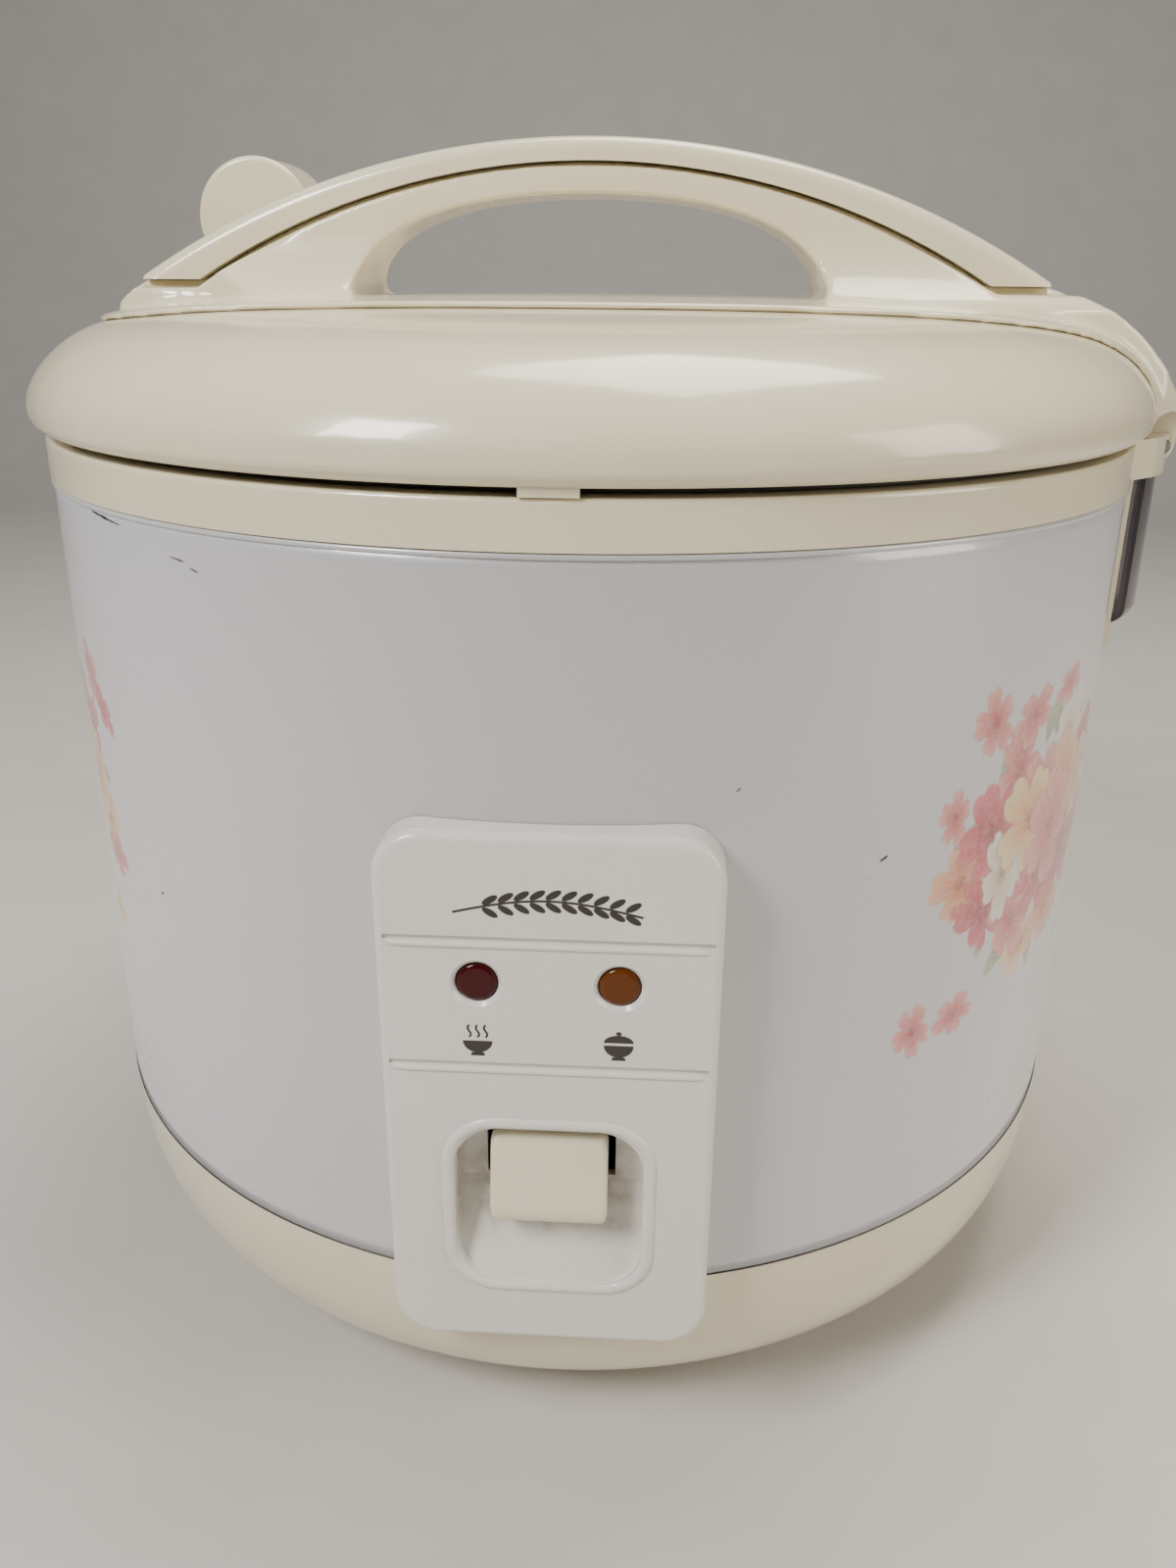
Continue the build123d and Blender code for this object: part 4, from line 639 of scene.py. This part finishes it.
# printed icons: bowl, foot, steam, lid and knob
ICON_DROP = 0.0078
ARC_STEPS = 18
BOWL_HALF = 0.0031
BOWL_DEPTH = BOWL_HALF * 0.92
FOOT_HALF_TOP, FOOT_HALF_BASE = 0.0013, 0.0015
FOOT_TOP, FOOT_BASE = 0.0028, 0.0036
STEAM_APART, STEAM_SWAY, STEAM_W = 0.0017, 0.00035, 0.00045
STEAM_LIFT, STEAM_STEP = 0.0008, 0.0005
LID_LIFT = 0.0006
LID_DEPTH = BOWL_HALF * 0.6
KNOB_LIFT, KNOB_W, KNOB_H = 0.0029, 0.0012, 0.0009
# printed ear of rice: stem and grains
EAR_HALF, EAR_DROP = 0.019, 0.0148
STEM_RISE, STEM_SAG, STEM_W = 0.0030, 0.0022, 0.0005
GRAIN_L, GRAIN_W, GRAIN_TILT = 0.0036, 0.0015, 0.55
GRAIN_AHEAD, GRAIN_OFF = 0.0012, 0.0014


def rounded_square(half, corner):
    """Outline points of a rounded square about the origin, anticlockwise."""
    points = []
    per_corner = 8
    flat = half - corner
    for k, (sx, sz) in enumerate(((1, 1), (-1, 1), (-1, -1), (1, -1))):
        for i in range(per_corner + 1):
            a = math.pi / 2 * (k + i / per_corner)
            points.append((sx * flat + corner * math.cos(a), sz * flat + corner * math.sin(a)))
    return points


def pocket_lip():
    """Soft raised rim round the switch pocket."""
    bm = bmesh.new()
    mid_z = (key_lo.z + key_hi.z) / 2 + LIP_DROP
    outline = rounded_square(LIP_HALF, LIP_CORNER)
    inner = rounded_square(LIP_HALF - LIP_W, LIP_CORNER - LIP_W)
    rings = []
    for (xo, zo), (xi, zi) in zip(outline, inner):
        ring = []
        for j in range(LIP_SIDES):
            b = math.pi * j / (LIP_SIDES - 1)
            t = (1 - math.cos(b)) / 2
            x, z = xo + (xi - xo) * t, zo + (zi - zo) * t
            y = PANEL_FACE + LIP_SUNK - LIP_RISE * math.sin(b)
            ring.append(bm.verts.new((x, y, mid_z + z)))
        rings.append(ring)
    for i, ring in enumerate(rings):
        after = rings[(i + 1) % len(rings)]
        for j in range(LIP_SIDES - 1):
            bm.faces.new((ring[j], after[j], after[j + 1], ring[j + 1]))
    mesh_object("pocket_lip", bm, BODY, "panel_white")


def groove_lip(name, height):
    """Soft lip that catches the light along the lower side of a groove across the panel."""
    bm = bmesh.new()
    rings = []
    for i in range(GROOVE_STEPS + 1):
        t = 2 * i / GROOVE_STEPS - 1
        swell = math.sqrt(max(0.0, 1 - abs(t) ** GROOVE_TAPER))
        ring = []
        for j in range(GROOVE_SIDES):
            b = math.pi * j / (GROOVE_SIDES - 1)
            z = height - GROOVE_LIP_W * (1 - math.cos(b)) / 2
            y = PANEL_FACE + LIP_SUNK - GROOVE_LIP_RISE * swell * math.sin(b)
            ring.append(bm.verts.new((GROOVE_HALF * t, y, z)))
        rings.append(ring)
    for before, after in zip(rings, rings[1:]):
        for j in range(GROOVE_SIDES - 1):
            bm.faces.new((before[j], after[j], after[j + 1], before[j + 1]))
    mesh_object(name, bm, BODY, "panel_white")


def key_cap():
    """The switch key with soft edges: its side profile, drawn in towards both ends."""
    top, bottom, back, front = key_hi.z, key_lo.z, KEY_BACK_Y, key_lo.y
    profile = [(back, bottom), (back, top - KEY_LIP), (back - KEY_LIP, top), (back - KEY_FLAT, top)]
    for i in range(1, KEY_STEPS + 1):
        t = i / KEY_STEPS
        y = back - KEY_SLOPE_BACK + (front - back + KEY_SLOPE_BACK) * t**1.3
        profile.append((y, top - KEY_SLOPE_TOP - KEY_SLOPE_DROP * t))
    for i in range(1, KEY_STEPS + 1):
        a = math.pi / 2 * i / KEY_STEPS
        y = front + KEY_NOSE_R * (1 - math.cos(a))
        profile.append((y, bottom + KEY_NOSE_R * (1 - math.sin(a))))
    mid_z = (top + bottom) / 2
    half = (key_hi.x - key_lo.x) / 2
    stations = [half * (1 - 2 * i / KEY_STATIONS) for i in range(KEY_STATIONS + 1)]
    for i in range(1, KEY_STEPS + 1):
        edge = half - KEY_EDGE_R * (1 - math.sin(math.pi / 2 * i / KEY_STEPS))
        stations += [edge, -edge]
    bm = bmesh.new()
    rings = []
    for x in sorted(set(round(station, 7) for station in stations)):
        past = max(0.0, abs(x) - (half - KEY_EDGE_R))
        draw_in = KEY_EDGE_R - math.sqrt(max(0.0, KEY_EDGE_R**2 - past**2))
        ring = []
        for y, z in profile:
            y2 = back + (y - back) * (1 - draw_in / (back - front))
            z2 = mid_z + (z - mid_z) * (1 - draw_in / (top - bottom) * 2)
            ring.append(bm.verts.new((x, y2, z2)))
        rings.append(ring)
    count = len(profile)
    for before, after in zip(rings, rings[1:]):
        for j in range(count):
            k = (j + 1) % count
            bm.faces.new((before[j], after[j], after[k], before[k]))
    bm.faces.new(rings[0])
    bm.faces.new(rings[-1][::-1])
    cap = mesh_object("key_cap", bm, SWITCH, "ivory_plastic")
    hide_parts("switch_key")


def flat_shapes(name, shapes):
    """Dark printed shapes on the panel's face; each is a list of (x, z) points."""
    bm = bmesh.new()
    for points in shapes:
        bm.faces.new([bm.verts.new((x, PANEL_FACE - PRINT_RISE, z)) for x, z in points])
    mesh_object(name, bm, BODY, "phenolic")


def ellipse(x, z, length, width, tilt):
    """Outline of an ellipse whose long axis is turned by tilt."""
    points = []
    count = 20
    turned, upright = math.cos(tilt), math.sin(tilt)
    for i in range(count):
        a = math.tau * i / count
        u, v = length / 2 * math.cos(a), width / 2 * math.sin(a)
        points.append((x + u * turned - v * upright, z + u * upright + v * turned))
    return points


def ribbon(points, width):
    """A line of constant width through points, as one outline."""
    left, right = [], []
    for i, (x, z) in enumerate(points):
        x0, z0 = points[max(i - 1, 0)]
        x1, z1 = points[min(i + 1, len(points) - 1)]
        length = math.hypot(x1 - x0, z1 - z0)
        nx, nz = -(z1 - z0) / length * width / 2, (x1 - x0) / length * width / 2
        left.append((x + nx, z + nz))
        right.append((x - nx, z - nz))
    return left + right[::-1]


def bowl_icon(x, z, steam):
    """A rice bowl: half round with a foot, under steam or under a lid."""
    turns = [math.pi * i / ARC_STEPS for i in range(ARC_STEPS + 1)]
    bowl = []
    for a in turns:
        bowl.append((x + BOWL_HALF * math.cos(math.pi + a), z + BOWL_DEPTH * math.sin(math.pi + a)))
    foot = [
        (x - FOOT_HALF_TOP, z - FOOT_TOP), (x + FOOT_HALF_TOP, z - FOOT_TOP),
        (x + FOOT_HALF_BASE, z - FOOT_BASE), (x - FOOT_HALF_BASE, z - FOOT_BASE),
    ]
    shapes = [bowl, foot]
    if steam:
        for k in (-1, 0, 1):
            wave = []
            for i in range(7):
                sway = STEAM_SWAY * math.sin(i * 1.05)
                wave.append((x + STEAM_APART * k + sway, z + STEAM_LIFT + STEAM_STEP * i))
            shapes.append(ribbon(wave, STEAM_W))
    else:
        lid_z = z + LID_LIFT
        shapes.append([(x + BOWL_HALF * math.cos(a), lid_z + LID_DEPTH * math.sin(a)) for a in turns])
        shapes.append(ellipse(x, z + KNOB_LIFT, KNOB_W, KNOB_H, 0.0))
    return shapes


def rice_ear():
    """Generic ornament at the head of the panel: a bending ear of rice."""
    z0 = panel_hi.z - EAR_DROP
    stem = []
    for t in range(25):
        bend = STEM_RISE * math.sin(math.pi * t / 24)
        stem.append((EAR_HALF * (t / 12 - 1), z0 - STEM_SAG + bend))
    shapes = [ribbon(stem, STEM_W)]
    for x, z in stem[4:24:2]:
        for side in (-1, 1):
            tilt = side * GRAIN_TILT
            shapes.append(ellipse(x + GRAIN_AHEAD, z + side * GRAIN_OFF, GRAIN_L, GRAIN_W, tilt))
    flat_shapes("rice_ear_mark", shapes)


pocket_lip()
groove_lip("groove_lip_low", panel_lo.z + GROOVE_LOW)
groove_lip("groove_lip_high", panel_lo.z + GROOVE_HIGH)
key_cap()
icon_z = cook_lo.z - ICON_DROP
flat_shapes("cook_icon", bowl_icon((cook_lo.x + cook_hi.x) / 2, icon_z, True))
flat_shapes("warm_icon", bowl_icon((warm_lo.x + warm_hi.x) / 2, icon_z, False))
rice_ear()


# ---------------------------------------------------------------- stage
FLOOR_HALF = 3.0
WALL_Y = 1.7
WALL_TOP = 3.0
BEND_R = 0.5
BEND_STEPS = 16


def make_floor():
    """Pale sweep: a floor that curves up into a wall behind the cooker."""
    bm = bmesh.new()
    profile = [(-FLOOR_HALF, 0.0), (WALL_Y - BEND_R, 0.0)]
    for i in range(1, BEND_STEPS + 1):
        a = math.pi / 2 * i / BEND_STEPS
        profile.append((WALL_Y - BEND_R + BEND_R * math.sin(a), BEND_R - BEND_R * math.cos(a)))
    profile.append((WALL_Y, WALL_TOP))
    rows = [[bm.verts.new((x, y, z)) for x in (-FLOOR_HALF, FLOOR_HALF)] for y, z in profile]
    for below, above in zip(rows, rows[1:]):
        bm.faces.new((below[0], below[1], above[1], above[0]))
    mesh = bpy.data.meshes.new("floor")
    bm.to_mesh(mesh)
    bm.free()
    for polygon in mesh.polygons:
        polygon.use_smooth = True
    floor = bpy.data.objects.new("floor", mesh)
    bpy.context.scene.collection.objects.link(floor)
    paper = moulded("floor_paper", (0.60, 0.58, 0.55), (0.57, 0.55, 0.52), 0.6, 0.75)
    floor.data.materials.append(paper)


def soft_light(name, location, size, size_y, energy, color):
    """Rectangular lamp that faces the middle of the cooker."""
    data = bpy.data.lights.new(name, "AREA")
    data.shape = "RECTANGLE"
    data.size, data.size_y = size, size_y
    data.energy = energy
    data.color = color
    lamp = bpy.data.objects.new(name, data)
    bpy.context.scene.collection.objects.link(lamp)
    lamp.location = location
    lamp.rotation_euler = (CENTRE - Vector(location)).to_track_quat("-Z", "Y").to_euler()


CENTRE = (cad_lo + cad_hi) / 2
WORLD_COLOR = (0.92, 0.94, 1.0, 1.0)
WORLD_STRENGTH = 0.15
make_floor()
soft_light("window", (-0.62, -0.72, 0.92), 0.30, 0.42, 14.0, (1.0, 0.98, 0.95))
soft_light("ceiling", (0.15, 0.20, 1.20), 0.6, 0.6, 12.0, (1.0, 0.94, 0.82))
soft_light("fill", (1.10, -0.45, 0.55), 0.5, 0.8, 8.5, (1.0, 0.93, 0.82))

world = bpy.data.worlds.new("studio")
bpy.context.scene.world = world
world.use_nodes = True
background = world.node_tree.nodes["Background"]
background.inputs["Color"].default_value = WORLD_COLOR
background.inputs["Strength"].default_value = WORLD_STRENGTH

# ---------------------------------------------------------------- camera
# distances in metres and angles in degrees; the pitch is downwards from level
CAMERA_DISTANCE = 0.3733
CAMERA_HEIGHT = 0.2703
CAMERA_TURN = 3.0
CAMERA_PITCH = 21.7
CAMERA_ROLL = 0.5
LENS = 29.25
turn = math.radians(CAMERA_TURN)
camera_data = bpy.data.cameras.new("camera")
camera_data.lens = LENS
camera = bpy.data.objects.new("camera", camera_data)
bpy.context.scene.collection.objects.link(camera)
camera.location = (CAMERA_DISTANCE * math.sin(turn), -CAMERA_DISTANCE * math.cos(turn), CAMERA_HEIGHT)
aim = Matrix.Rotation(turn, 4, "Z") @ Matrix.Rotation(math.radians(90 - CAMERA_PITCH), 4, "X")
camera.rotation_euler = (aim @ Matrix.Rotation(math.radians(CAMERA_ROLL), 4, "Z")).to_euler()
bpy.context.scene.camera = camera
